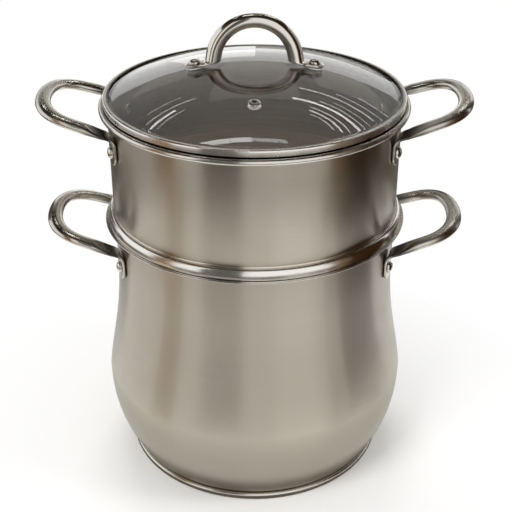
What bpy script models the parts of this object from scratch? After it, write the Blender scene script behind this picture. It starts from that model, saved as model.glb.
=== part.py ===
"""Couscoussier: a bellied stainless pot, a steamer that stands in its mouth and a domed glass lid.

Metres, +Z up. The origin is on the common axis, at the underside of the pot's base. The side
handles lie along X. Each piece is one object, and each moving piece hangs from an empty on its axis.
"""

import math

import bmesh
import bpy
from mathutils import Matrix, Vector

# How finely things are drawn
TURN_STEPS = 40
FASTENER_STEPS = 12
BELLY_STEPS = 7
CORNER_STEPS = 3
DOME_STEPS = 6
SECTION_POINTS = 12
BEND_STEPS = 4
LOOP_STEPS = 6
HEEL_STEPS = 5
ARCH_STEPS = 9
HOLE_SIDES = 6

# Gaps and overruns
SEAT_GAP = 0.0003
SLIDING_GAP = 0.0009
CUT_OVERRUN = 0.004

# Pot, whose radii all follow the neck's
NECK_RADIUS = 0.1143
NECK_LENGTH = 0.0408
NECK_EASE = 0.68
POT_SHEET = 0.0009
POT_LIP_WIDTH = 0.0076
POT_LIP_BEND = 0.003
BELLY_SWELL = 0.0122
BELLY_RISE = 0.0693
BELLY_ROUNDNESS = 2.3
SHOULDER_RISE = 0.1005
FLOOR_DRAW_IN = 0.0198
POT_FLOOR_BEND = 0.0025

# Encapsulated base, a steel cap closed round a plate and tucked under the pot's floor
BASE_OVERHANG = 0.0028
BASE_CAP_HEIGHT = 0.0056
BASE_CAP_SHEET = 0.0008
BASE_CAP_CORNER = 0.002
BASE_CAP_TUCK = 0.004
CORE_PLAY = 0.0006

# Steamer
STEAMER_OVERSIZE = 0.0007
STEAMER_WALL_LENGTH = 0.0872
STEAMER_SHEET = 0.0008
SKIRT_LENGTH = 0.0098
BEAD_SWELL = 0.0045
BEAD_HEIGHT = 0.009
BEAD_ROUNDNESS = 2.6
RIM_BEND = 0.004
RIM_CURL_RADIUS = 0.0025
RIM_CURL_SWEEP = math.radians(150)

# Perforated floor, a plate that stands on the bead's inner ledge
FLOOR_SHEET = 0.0008
FLOOR_HEIGHT = 0.0240
FLOOR_BEND = 0.002
HOLE_RADIUS = 0.0018
HOLE_PITCH = 0.021
HOLE_RINGS = 4

# Lid
GLASS_THICKNESS = 0.0037
GLASS_OVERLAP = 0.0021
GLASS_FLAT_EDGE = 0.0039
DOME_RISE = 0.0235
BAND_SHEET = 0.0007
BAND_GRIP = 0.0033
BAND_SKIRT = 0.0063

# Steam vent
VENT_DISTANCE = 0.066
VENT_BORE_RADIUS = 0.0018
VENT_TUBE_RADIUS = 0.0032
VENT_FLANGE_RADIUS = 0.005
VENT_FLANGE_THICKNESS = 0.0011
VENT_HOLE_PLAY = 0.0004

# Lid handle, a tube whose crimped ends are screwed through the glass
ARCH_RADIUS = 0.0314
ARCH_LEG_RADIUS = 0.0061
ARCH_CROWN_RADIUS = 0.0055
ARCH_TOP_HEIGHT = 0.0388
ARCH_TAB_WIDTH = 0.0145
ARCH_TAB_THICKNESS = 0.0022
ARCH_TAB_OVERHANG = 0.0076
ARCH_FOOT_REACH = 0.0142
ARCH_HEEL_FILLET = 0.0014
ARCH_HEEL_ROUNDNESS = 3.0
ARCH_LEG_START = math.radians(10)
GASKET_THICKNESS = 0.001
GASKET_RADIUS = 0.0072
SCREW_RADIUS = 0.002
SCREW_HEAD_RADIUS = 0.0047
SCREW_HEAD_HEIGHT = 0.0028
SCREW_PLAY = 0.0004
SCREW_END = 0.001
NUT_RADIUS = 0.0043
NUT_HEIGHT = 0.0034

# Side handles, crimped oval tubes riveted to the walls
MOUNT_ANGLE = math.radians(23)
SIDE_TAB_WIDTH = 0.014
SIDE_TAB_THICKNESS = 0.0022
SIDE_TAB_DROP = 0.010
SIDE_TUBE_WIDTH = 0.0120
SIDE_TUBE_THICKNESS = 0.0080
SIDE_REACH = 0.0549
SIDE_END_LENGTH = 0.0255
SIDE_HALF_WIDTH = 0.0470
SIDE_END_ROUNDNESS_SHARE = 0.64
SIDE_LOOP_RISE = 0.0175
SIDE_BEND = 0.0068
SIDE_CRIMP = 0.017
SIDE_BEND_SWELL_SHARE = 0.3
POT_RIVET_DROP = 0.0295
STEAMER_RIVET_DROP = 0.0265
RIVET_RADIUS = 0.0023
RIVET_PLAY = 0.0004
RIVET_DOME_RADIUS = 0.0047
RIVET_DOME_HEIGHT = 0.0027
RIVET_INNER_RADIUS = 0.0045
RIVET_INNER_THICKNESS = 0.0011

# A flattened foot's rounded end, as shares of its half width
TIP_WIDTH_SHARE = 0.5
TIP_SHOULDER_WIDTH_SHARE = 0.9
TIP_SHOULDER_LENGTH_SHARE = 0.4

# Worked out from the sizes above
FACET_SHARE = math.cos(math.pi / TURN_STEPS)
BELLY_RADIUS = NECK_RADIUS + BELLY_SWELL
POT_FLOOR_RADIUS = BELLY_RADIUS - FLOOR_DRAW_IN
POT_LIP_RADIUS = NECK_RADIUS + POT_LIP_WIDTH
POT_MOUTH_RADIUS = NECK_RADIUS - POT_SHEET
POT_FLOOR_HEIGHT = BASE_CAP_HEIGHT + SEAT_GAP
BELLY_HEIGHT = POT_FLOOR_HEIGHT + BELLY_RISE
NECK_START_HEIGHT = BELLY_HEIGHT + SHOULDER_RISE
POT_LIP_HEIGHT = NECK_START_HEIGHT + NECK_LENGTH
BASE_RADIUS = POT_FLOOR_RADIUS + BASE_OVERHANG
BASE_CAP_LIP_RADIUS = POT_FLOOR_RADIUS - BASE_CAP_TUCK
STEAMER_RADIUS = NECK_RADIUS + STEAMER_OVERSIZE
BEAD_RADIUS = STEAMER_RADIUS + BEAD_SWELL
GLASS_RADIUS = STEAMER_RADIUS + GLASS_OVERLAP
SHOULDER_HEIGHT = POT_LIP_HEIGHT + SEAT_GAP
SKIRT_RADIUS = POT_MOUTH_RADIUS - SLIDING_GAP
FOOT_HEIGHT = SHOULDER_HEIGHT + BEAD_HEIGHT
RIM_TOP_HEIGHT = FOOT_HEIGHT + STEAMER_WALL_LENGTH
STEAMER_MOUTH_RADIUS = STEAMER_RADIUS - STEAMER_SHEET
BAND_SEAT_HEIGHT = RIM_TOP_HEIGHT + SEAT_GAP
GLASS_EDGE_HEIGHT = BAND_SEAT_HEIGHT + BAND_SHEET + SEAT_GAP
GLASS_TOP_EDGE_HEIGHT = GLASS_EDGE_HEIGHT + GLASS_THICKNESS
DOME_EDGE_RADIUS = GLASS_RADIUS - GLASS_FLAT_EDGE
DOME_RADIUS = (DOME_EDGE_RADIUS**2 + DOME_RISE**2) / (2 * DOME_RISE)
DOME_TOP_HEIGHT = GLASS_TOP_EDGE_HEIGHT + DOME_RISE
DOME_CENTRE_HEIGHT = DOME_TOP_HEIGHT - DOME_RADIUS
POT_RIVET_HEIGHT = POT_LIP_HEIGHT - POT_RIVET_DROP
STEAMER_RIVET_HEIGHT = RIM_TOP_HEIGHT - STEAMER_RIVET_DROP
# What is clamped under the dome is flat, and clears the dome's flats and its curve.
DOME_STEP_ANGLE = math.asin(DOME_EDGE_RADIUS / DOME_RADIUS) / DOME_STEPS
DOME_FLATS_DEPTH = DOME_RADIUS * (1 - math.cos(DOME_STEP_ANGLE / 2))
UNDERSIDE_GAP = SEAT_GAP + DOME_FLATS_DEPTH + GASKET_RADIUS**2 / (2 * DOME_RADIUS)
ARCH_SCREW_DISTANCE = ARCH_RADIUS + ARCH_FOOT_REACH
# One stack of clamped pieces stands on the glass at each screw.
TAB_UNDERSIDE = SEAT_GAP + GASKET_THICKNESS + SEAT_GAP
TAB_TOP = TAB_UNDERSIDE + ARCH_TAB_THICKNESS
INNER_GASKET_TOP = -GLASS_THICKNESS - UNDERSIDE_GAP
NUT_TOP = INNER_GASKET_TOP - GASKET_THICKNESS - SEAT_GAP


# Materials


def material(name, colour, metallic, roughness, transmission=0.0):
    made = bpy.data.materials.new(name)
    made.use_nodes = True
    shader = made.node_tree.nodes["Principled BSDF"]
    shader.inputs["Base Color"].default_value = (*colour, 1.0)
    shader.inputs["Metallic"].default_value = metallic
    shader.inputs["Roughness"].default_value = roughness
    shader.inputs["Transmission Weight"].default_value = transmission
    made.diffuse_color = (*colour, 1.0)
    made.metallic = metallic
    made.roughness = roughness
    return made


# Outlines in (radius, height)


def arc(centre, radius, start, end, steps):
    """Points on an arc, from the start angle to the end angle."""
    angles = [start + (end - start) * step / steps for step in range(steps + 1)]
    return [(centre[0] + radius * math.cos(a), centre[1] + radius * math.sin(a)) for a in angles]


def sheet(path, thickness):
    """The closed outline of a bent sheet: the path, and its copy offset to the path's left."""
    inner = []
    for index, point in enumerate(path):
        here = Vector(point)
        before = Vector(path[max(index - 1, 0)])
        after = Vector(path[min(index + 1, len(path) - 1)])
        into = (here - before).normalized() if index else (after - here).normalized()
        out = (after - here).normalized() if index < len(path) - 1 else into
        middle = (into + out).normalized()
        left = Vector((-middle.y, middle.x))
        spread = thickness / max(left.dot(Vector((-into.y, into.x))), 0.5)
        inner.append(tuple(here + left * spread))
    return path + inner[::-1]


def belly_path():
    """The pot's outside from its floor to the start of the neck."""
    rise = BELLY_HEIGHT - POT_FLOOR_HEIGHT
    swell = BELLY_RADIUS - POT_FLOOR_RADIUS
    points = []
    for step in range(BELLY_STEPS + 1):
        share = step / BELLY_STEPS
        draw_in = swell * (1 - share) ** BELLY_ROUNDNESS
        points.append((BELLY_RADIUS - draw_in, POT_FLOOR_HEIGHT + rise * share))
    rise = NECK_START_HEIGHT - BELLY_HEIGHT
    waist = BELLY_RADIUS - NECK_RADIUS
    for step in range(1, BELLY_STEPS + 1):
        share = step / BELLY_STEPS
        fade = 0.5 + 0.5 * math.cos(math.pi * share**NECK_EASE)
        points.append((NECK_RADIUS + waist * fade, BELLY_HEIGHT + rise * share))
    return points


def pot_outline():
    bend_centre = (NECK_RADIUS + POT_LIP_BEND, POT_LIP_HEIGHT - POT_SHEET - POT_LIP_BEND)
    floor, *wall = belly_path()
    path = [(0.0, POT_FLOOR_HEIGHT), (floor[0] - POT_FLOOR_BEND, floor[1])]
    path.append(tuple(Vector(floor).lerp(Vector(wall[0]), POT_FLOOR_BEND / (wall[0][1] - floor[1]))))
    path += wall
    path += arc(bend_centre, POT_LIP_BEND, math.pi, math.pi / 2, CORNER_STEPS)
    path.append((POT_LIP_RADIUS, POT_LIP_HEIGHT - POT_SHEET))
    return sheet(path, POT_SHEET)


def base_cap_outline():
    middle = BASE_RADIUS - BASE_CAP_CORNER
    path = [(0.0, 0.0)]
    path += arc((middle, BASE_CAP_CORNER), BASE_CAP_CORNER, -math.pi / 2, 0.0, CORNER_STEPS)
    upper = BASE_CAP_HEIGHT - BASE_CAP_CORNER
    path += arc((middle, upper), BASE_CAP_CORNER, 0.0, math.pi / 2, CORNER_STEPS)
    path.append((BASE_CAP_LIP_RADIUS, BASE_CAP_HEIGHT))
    return sheet(path, BASE_CAP_SHEET)


def base_core_outline():
    """A plate that fills the cap, stepped down round its edge to pass under the cap's lip."""
    radius = BASE_RADIUS - BASE_CAP_SHEET - CORE_PLAY
    shoulder = radius - BASE_CAP_CORNER
    step = BASE_CAP_LIP_RADIUS - CORE_PLAY
    bottom = BASE_CAP_SHEET + SEAT_GAP
    under_lip = BASE_CAP_HEIGHT - BASE_CAP_SHEET - SEAT_GAP
    edge = [(shoulder, bottom), (radius, (bottom + under_lip) / 2), (shoulder, under_lip)]
    top = POT_FLOOR_HEIGHT - SEAT_GAP
    return [(0.0, bottom), *edge, (step, under_lip), (step, top), (0.0, top)]


def bead_path():
    """The steamer's outside from its skirt, over the bead, to the foot of its wall."""
    turn = STEAMER_SHEET
    swell = BEAD_RADIUS - STEAMER_RADIUS
    points = [(SKIRT_RADIUS, SHOULDER_HEIGHT - SKIRT_LENGTH)]
    points.append((SKIRT_RADIUS, SHOULDER_HEIGHT - turn))
    points.append((SKIRT_RADIUS + turn, SHOULDER_HEIGHT))
    points.append((BEAD_RADIUS - turn, SHOULDER_HEIGHT))
    for step in range(BEND_STEPS + 1):
        share = step / BEND_STEPS
        bulge = (1 - share**BEAD_ROUNDNESS) ** (1 / BEAD_ROUNDNESS)
        climb = turn + (BEAD_HEIGHT - turn) * share
        points.append((STEAMER_RADIUS + swell * bulge, SHOULDER_HEIGHT + climb))
    return points


def steamer_outline():
    flange = RIM_TOP_HEIGHT - STEAMER_SHEET
    curl = RIM_CURL_RADIUS - STEAMER_SHEET
    bend_centre = (STEAMER_RADIUS + RIM_BEND, flange - RIM_BEND)
    curl_centre = (STEAMER_RADIUS + RIM_BEND, flange - curl)
    path = bead_path()
    path += arc(bend_centre, RIM_BEND, math.pi, math.pi / 2, CORNER_STEPS)
    path += arc(curl_centre, curl, math.pi / 2, math.pi / 2 - RIM_CURL_SWEEP, BEND_STEPS)[1:]
    return sheet(path, STEAMER_SHEET)


def floor_outline():
    """A plate with its edge turned down, which stands on the bead's inner ledge."""
    radius = STEAMER_MOUTH_RADIUS - SLIDING_GAP / 2
    bottom = SHOULDER_HEIGHT + STEAMER_SHEET + SEAT_GAP
    under = bottom + FLOOR_HEIGHT - FLOOR_SHEET
    inner_bend = FLOOR_BEND - FLOOR_SHEET
    bend = arc((radius - FLOOR_BEND, under - inner_bend), inner_bend, math.pi / 2, 0.0, CORNER_STEPS)
    return sheet([(0.0, under), *bend, (radius - FLOOR_SHEET, bottom)], FLOOR_SHEET)


def glass_outline():
    top = []
    under = []
    sweep = math.asin(DOME_EDGE_RADIUS / DOME_RADIUS)
    inner_radius = DOME_RADIUS - GLASS_THICKNESS
    inner_sweep = math.acos((GLASS_EDGE_HEIGHT - DOME_CENTRE_HEIGHT) / inner_radius)
    for step in range(DOME_STEPS + 1):
        share = step / DOME_STEPS
        a = sweep * share
        b = inner_sweep * share
        top.append((DOME_RADIUS * math.sin(a), DOME_CENTRE_HEIGHT + DOME_RADIUS * math.cos(a)))
        under.append((inner_radius * math.sin(b), DOME_CENTRE_HEIGHT + inner_radius * math.cos(b)))
    edge = [(GLASS_RADIUS, GLASS_EDGE_HEIGHT), (GLASS_RADIUS, GLASS_TOP_EDGE_HEIGHT)]
    return under + edge + top[::-1]


def band_outline():
    """A channel that grips the glass's edge, with a skirt that hangs inside the steamer's mouth."""
    inside = GLASS_RADIUS + SEAT_GAP
    outside = inside + BAND_SHEET
    under_lip = GLASS_TOP_EDGE_HEIGHT + SEAT_GAP
    grip = GLASS_RADIUS - BAND_GRIP
    skirt = STEAMER_MOUTH_RADIUS - SLIDING_GAP
    bottom = BAND_SEAT_HEIGHT - BAND_SKIRT
    return [
        (skirt, bottom),
        (skirt, BAND_SEAT_HEIGHT),
        (outside, BAND_SEAT_HEIGHT),
        (outside, under_lip),
        (inside, under_lip + BAND_SHEET),
        (grip, under_lip + BAND_SHEET),
        (grip, under_lip),
        (inside, under_lip),
        (inside, BAND_SEAT_HEIGHT + BAND_SHEET),
        (skirt - BAND_SHEET, BAND_SEAT_HEIGHT + BAND_SHEET),
        (skirt - BAND_SHEET, bottom),
    ]


def dome(radius, base, height):
    """A low domed head on a flat base, from its edge to its crown."""
    points = []
    for step in range(CORNER_STEPS + 1):
        a = math.pi / 2 * step / CORNER_STEPS
        points.append((radius * math.cos(a), base + height * math.sin(a)))
    points[-1] = (0.0, base + height)
    return points


def rivet_outline(wall_radius, sheet_thickness):
    """A rivet along its axis, with heights measured out from the pot's axis."""
    inner_face = (wall_radius - sheet_thickness) * FACET_SHARE - SEAT_GAP
    tab_face = wall_radius + SEAT_GAP + SIDE_TAB_THICKNESS + SEAT_GAP
    inner_end = inner_face - RIVET_INNER_THICKNESS
    outline = [(0.0, inner_end), (RIVET_INNER_RADIUS, inner_end), (RIVET_INNER_RADIUS, inner_face)]
    outline += [(RIVET_RADIUS, inner_face), (RIVET_RADIUS, tab_face)]
    return outline + dome(RIVET_DOME_RADIUS, tab_face, RIVET_DOME_HEIGHT)


def screw_outline():
    head = TAB_TOP + SEAT_GAP
    end = NUT_TOP - NUT_HEIGHT - SCREW_END
    shank = [(0.0, end), (SCREW_RADIUS, end), (SCREW_RADIUS, head)]
    return shank + dome(SCREW_HEAD_RADIUS, head, SCREW_HEAD_HEIGHT)


def ring_outline(bore, radius, bottom, top):
    return [(bore, bottom), (radius, bottom), (radius, top), (bore, top)]


def vent_outline():
    flange = SEAT_GAP + VENT_FLANGE_THICKNESS
    under = -GLASS_THICKNESS - UNDERSIDE_GAP
    return [
        (VENT_BORE_RADIUS, under - VENT_FLANGE_THICKNESS),
        (VENT_FLANGE_RADIUS, under - VENT_FLANGE_THICKNESS),
        (VENT_FLANGE_RADIUS, under),
        (VENT_TUBE_RADIUS, under),
        (VENT_TUBE_RADIUS, SEAT_GAP),
        (VENT_FLANGE_RADIUS, SEAT_GAP),
        (VENT_TUBE_RADIUS, flange),
        (VENT_BORE_RADIUS, flange),
    ]


# Meshes


def finish(bm, name):
    bmesh.ops.recalc_face_normals(bm, faces=bm.faces)
    mesh = bpy.data.meshes.new(name)
    bm.to_mesh(mesh)
    bm.free()
    mesh.shade_smooth()
    mesh.set_sharp_from_angle(angle=math.radians(35))
    return mesh


def turned(name, outline, steps):
    """A solid of revolution about Z. An outline that starts on the axis stays open there."""
    bm = bmesh.new()
    corners = [bm.verts.new((radius, 0.0, height)) for radius, height in outline]
    for first, second in zip(corners, corners[1:]):
        bm.edges.new((first, second))
    if outline[0][0] > 0:
        bm.edges.new((corners[-1], corners[0]))
    whole = bm.verts[:] + bm.edges[:]
    full = 2 * math.pi
    bmesh.ops.spin(bm, geom=whole, cent=(0, 0, 0), axis=(0, 0, 1), angle=full, steps=steps, use_merge=True)
    on_axis = [v for v in bm.verts if math.hypot(v.co.x, v.co.y) < SEAT_GAP / 10]
    bmesh.ops.remove_doubles(bm, verts=on_axis, dist=SEAT_GAP / 10)
    return finish(bm, name)


def squared_to_path(stations):
    """Turns (centre, across, half width, half thickness) into (centre, side, up), square to the path."""
    made = []
    for index, (centre, across, half_width, half_thickness) in enumerate(stations):
        before = stations[max(index - 1, 0)][0]
        after = stations[min(index + 1, len(stations) - 1)][0]
        along = (after - before).normalized()
        side = (across - along * across.dot(along)).normalized()
        made.append((centre, side * half_width, along.cross(side) * half_thickness))
    return made


def swept(name, stations):
    """A closed tube through oval sections, each given by its centre and its two half axes."""
    bm = bmesh.new()
    rings = []
    for centre, side, up in stations:
        ring = []
        for step in range(SECTION_POINTS):
            a = 2 * math.pi * step / SECTION_POINTS
            ring.append(bm.verts.new(centre + side * math.cos(a) + up * math.sin(a)))
        rings.append(ring)
    for first, second in zip(rings, rings[1:]):
        for step in range(SECTION_POINTS):
            following = (step + 1) % SECTION_POINTS
            bm.faces.new((first[step], first[following], second[following], second[step]))
    bm.faces.new(rings[0][::-1])
    bm.faces.new(rings[-1])
    return finish(bm, name)


def add(name, mesh, look, parent, matrix=None):
    made = bpy.data.objects.new(name, mesh)
    made.matrix_world = matrix or Matrix()
    bpy.context.scene.collection.objects.link(made)
    if not made.data.materials:
        made.data.materials.append(look)
    if parent:
        made.parent = parent
        made.matrix_parent_inverse = parent.matrix_world.inverted()
    return made


def empty(name, height, parent=None):
    made = bpy.data.objects.new(name, None)
    made.location = (0.0, 0.0, height)
    bpy.context.scene.collection.objects.link(made)
    bpy.context.view_layer.update()
    if parent:
        made.parent = parent
        made.matrix_parent_inverse = parent.matrix_world.inverted()
    bpy.context.view_layer.update()
    return made


def drill(target, matrices, radius, bottom, top, sides):
    """Cuts a round hole along each matrix's Z axis, from bottom to top."""
    bm = bmesh.new()
    for matrix in matrices:
        place = matrix @ Matrix.Translation((0, 0, (bottom + top) / 2))
        size = {"radius1": radius, "radius2": radius, "depth": top - bottom}
        bmesh.ops.create_cone(bm, cap_ends=True, segments=sides, matrix=place, **size)
    mesh = finish(bm, target.name + "_holes")
    cutter = bpy.data.objects.new(mesh.name, mesh)
    bpy.context.scene.collection.objects.link(cutter)
    cutter.hide_render = True
    cutter.display_type = "WIRE"
    cut = target.modifiers.new("Holes", "BOOLEAN")
    cut.operation = "DIFFERENCE"
    cut.solver = "EXACT"
    cut.object = cutter


# Places


def wall_matrix(angle, height):
    """Z points straight out of the wall at this angle round the axis."""
    outward = Matrix.Rotation(angle, 4, "Z") @ Matrix.Rotation(math.pi / 2, 4, "Y")
    return Matrix.Translation((0, 0, height)) @ outward


def dome_matrix(distance, heading):
    """The spot on the glass at this distance from the axis, with Z square to the glass."""
    tilt = math.asin(distance / DOME_RADIUS)
    lift = DOME_CENTRE_HEIGHT + math.sqrt(DOME_RADIUS**2 - distance**2)
    place = Matrix.Translation((distance * math.cos(heading), distance * math.sin(heading), lift))
    return place @ Matrix.Rotation(heading, 4, "Z") @ Matrix.Rotation(tilt, 4, "Y")


def mount_angles(side_angle):
    return (side_angle - MOUNT_ANGLE, side_angle + MOUNT_ANGLE)


def rivet_matrices(height):
    angles = mount_angles(0.0) + mount_angles(math.pi)
    return [wall_matrix(angle, height) for angle in angles]


# Handles


def blend(first, second, share):
    return first + (second - first) * share


def bezier(points, steps):
    """Points on the curve with these control points, without its first."""
    made = []
    for step in range(1, steps + 1):
        share = step / steps
        level = list(points)
        while len(level) > 1:
            level = [blend(a, b, share) for a, b in zip(level, level[1:])]
        made.append(level[0])
    return made


def tip_stations(tip, inward, across, tab):
    """A flattened foot's rounded end, from its tip inwards to its full width."""
    width, thickness = tab
    shoulder = width * TIP_SHOULDER_LENGTH_SHARE
    return [
        (tip, across, width * TIP_WIDTH_SHARE, thickness),
        (tip + inward * shoulder, across, width * TIP_SHOULDER_WIDTH_SHARE, thickness),
        (tip + inward * width, across, width, thickness),
    ]


def side_handle_stations(wall_radius, rivet_height):
    """One half of a side handle, from its foot's tip to the middle of the loop, then its mirror image."""
    tab_radius = wall_radius + SEAT_GAP + SIDE_TAB_THICKNESS / 2
    outward = Vector((math.cos(MOUNT_ANGLE), -math.sin(MOUNT_ANGLE), 0.0))
    along_wall = Vector((math.sin(MOUNT_ANGLE), math.cos(MOUNT_ANGLE), 0.0))
    root = outward * tab_radius
    arm_height = rivet_height + RIVET_DOME_RADIUS + SIDE_BEND
    loop_end = wall_radius + SIDE_REACH - SIDE_TUBE_WIDTH / 2

    def at(flat, height):
        return Vector((flat.x, flat.y, height))

    def risen(flat):
        share = max(flat.x - root.x, 0.0) / (loop_end - root.x)
        return at(flat, arm_height + SIDE_LOOP_RISE * share)

    corner = Vector((loop_end - SIDE_END_LENGTH, SIDE_TUBE_WIDTH / 2 - SIDE_HALF_WIDTH, 0.0))
    heading = (corner - root).normalized()
    arm_across = Vector((-heading.y, heading.x, 0.0))
    tab = (SIDE_TAB_WIDTH / 2, SIDE_TAB_THICKNESS / 2)
    tube = (SIDE_TUBE_WIDTH / 2, SIDE_TUBE_THICKNESS / 2)
    bend_thickness = tab[1] * (1 + SIDE_BEND_SWELL_SHARE)
    bend_start = at(root, arm_height - SIDE_BEND)
    bend_end = risen(root + heading * SIDE_BEND)
    stations = tip_stations(at(root, rivet_height - SIDE_TAB_DROP), Vector((0, 0, 1)), along_wall, tab)
    stations.append((bend_start, along_wall, *tab))
    bend = bezier([bend_start, at(root, arm_height), bend_end], BEND_STEPS)
    for index, point in enumerate(bend):
        share = (index + 1) / BEND_STEPS
        across = blend(along_wall, arm_across, share * share)
        stations.append((point, across, tab[0], blend(tab[1], bend_thickness, share)))
    full = risen(root + heading * (SIDE_BEND + SIDE_CRIMP))
    half_way = (blend(tab[0], tube[0], 0.5), blend(bend_thickness, tube[1], 0.5))
    stations.append((blend(bend_end, full, 0.5), arm_across, *half_way))
    stations.append((full, arm_across, *tube))
    reach = SIDE_END_LENGTH * SIDE_END_ROUNDNESS_SHARE
    middle = Vector((loop_end, 0.0, 0.0))
    end_control = Vector((loop_end, corner.y * SIDE_END_ROUNDNESS_SHARE, 0.0))
    points = bezier([corner, corner + heading * reach, end_control, middle], LOOP_STEPS)
    for before, point in zip([corner, *points], points):
        forward = (point - before).normalized()
        stations.append((risen(point), Vector((-forward.y, forward.x, 0.0)), *tube))
    stations[-1] = (stations[-1][0], Vector((-1.0, 0.0, 0.0)), *tube)
    flip = Matrix.Diagonal((1.0, -1.0, 1.0))
    mirrored = [(flip @ centre, flip @ across, *sizes) for centre, across, *sizes in stations[:-1]]
    return squared_to_path(stations + mirrored[::-1])


def lid_handle_stations():
    """From the left foot's tip, round its heel and up over the arch to the top, then its mirror image."""
    across = Vector((0.0, 1.0, 0.0))
    seat = dome_matrix(ARCH_SCREW_DISTANCE, math.pi)
    lift = TAB_UNDERSIDE + ARCH_TAB_THICKNESS / 2
    centre_height = DOME_TOP_HEIGHT + ARCH_TOP_HEIGHT - ARCH_CROWN_RADIUS - ARCH_RADIUS
    tab = (ARCH_TAB_WIDTH / 2, ARCH_TAB_THICKNESS / 2)
    tab_up = (seat.to_3x3() @ Vector((0.0, 0.0, 1.0))).normalized()

    def on_tab(offset):
        return seat @ Vector((offset, 0.0, lift))

    inward = (on_tab(0.0) - on_tab(ARCH_TAB_OVERHANG)).normalized()
    tip = tip_stations(on_tab(ARCH_TAB_OVERHANG), inward, across, tab)
    stations = [(centre, side * width, tab_up * thickness) for centre, side, width, thickness in tip]
    # The heel fans round a pivot just outside the leg and above the foot.
    pivot_x = -ARCH_RADIUS - ARCH_LEG_RADIUS - ARCH_HEEL_FILLET
    along_tab = (pivot_x - on_tab(0.0).x) / inward.x
    pivot = on_tab(0.0) + inward * along_tab + tab_up * (tab[1] + ARCH_HEEL_FILLET)
    tilt = math.atan2(tab_up.z, -tab_up.x)
    for step in range(HEEL_STEPS + 1):
        share = step / HEEL_STEPS
        turn = tilt * (1 - share)
        up = Vector((-math.cos(turn), 0.0, math.sin(turn)))
        squeeze = math.sin(turn) / math.sin(tilt) / tab[1]
        inverse = ARCH_LEG_RADIUS**-ARCH_HEEL_ROUNDNESS + squeeze**ARCH_HEEL_ROUNDNESS
        half = inverse ** (-1 / ARCH_HEEL_ROUNDNESS)
        width = blend(tab[0], ARCH_LEG_RADIUS, share)
        stations.append((pivot - up * (ARCH_HEEL_FILLET + half), across * width, up * half))
    for step in range(ARCH_STEPS + 1):
        angle = blend(ARCH_LEG_START, math.pi / 2, step / ARCH_STEPS)
        radius = blend(ARCH_LEG_RADIUS, ARCH_CROWN_RADIUS, math.sin(angle) ** 2)
        up = Vector((-math.cos(angle), 0.0, math.sin(angle)))
        centre = Vector((0.0, 0.0, centre_height)) + up * ARCH_RADIUS
        stations.append((centre, across * radius, up * radius))
    flip = Matrix.Diagonal((-1.0, 1.0, 1.0))
    mirrored = [(flip @ centre, side, flip @ up) for centre, side, up in stations[:-1]]
    return stations + mirrored[::-1]


# Assemblies


def make_pot(root, looks):
    add("pot_base_cap", turned("pot_base_cap", base_cap_outline(), TURN_STEPS), looks["polished"], root)
    add("pot_base_core", turned("pot_base_core", base_core_outline(), TURN_STEPS), looks["aluminium"], root)
    body = add("pot_body", turned("pot_body", pot_outline(), TURN_STEPS), looks["satin"], root)
    make_side_handles("pot", body, (NECK_RADIUS, POT_SHEET), POT_RIVET_HEIGHT, root, looks)


def make_side_handles(owner, body, wall, height, parent, looks):
    """Two loops with four rivets, and their holes. The wall is given as (outside radius, thickness)."""
    wall_radius, sheet_thickness = wall
    loop = swept(owner + "_handle", side_handle_stations(wall_radius, height))
    rivet = turned(owner + "_rivet", rivet_outline(wall_radius, sheet_thickness), FASTENER_STEPS)
    hole = RIVET_RADIUS + RIVET_PLAY
    reach = (wall_radius - CUT_OVERRUN, wall_radius + SIDE_TAB_THICKNESS + CUT_OVERRUN)
    drill(body, rivet_matrices(height), hole, *reach, FASTENER_STEPS)
    for side, side_angle in (("right", 0.0), ("left", math.pi)):
        facing = Matrix.Rotation(side_angle, 4, "Z")
        handle = add(f"{owner}_handle_{side}", loop, looks["polished"], parent, facing)
        places = [wall_matrix(angle, height) for angle in mount_angles(side_angle)]
        drill(handle, places, hole, *reach, FASTENER_STEPS)
        for place in places:
            front = "front" if place.col[2].y < 0 else "back"
            add(f"{owner}_rivet_{side}_{front}", rivet, looks["polished"], parent, place)


def hole_places():
    """Rings of holes, six more in each ring than in the last, round one in the middle."""
    places = [Matrix()]
    for ring in range(1, HOLE_RINGS + 1):
        for step in range(6 * ring):
            a = 2 * math.pi * step / (6 * ring)
            spot = Vector((math.cos(a), math.sin(a), 0.0)) * HOLE_PITCH * ring
            places.append(Matrix.Translation(spot))
    return places


def make_steamer(root, looks):
    body = add("steamer_body", turned("steamer_body", steamer_outline(), TURN_STEPS), looks["satin"], root)
    plate = add("steamer_floor", turned("steamer_floor", floor_outline(), TURN_STEPS), looks["satin"], root)
    top = SHOULDER_HEIGHT + STEAMER_SHEET + SEAT_GAP + FLOOR_HEIGHT
    drill(plate, hole_places(), HOLE_RADIUS, top - CUT_OVERRUN, top + CUT_OVERRUN, HOLE_SIDES)
    wall = (STEAMER_RADIUS, STEAMER_SHEET)
    make_side_handles("steamer", body, wall, STEAMER_RIVET_HEIGHT, root, looks)


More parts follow.
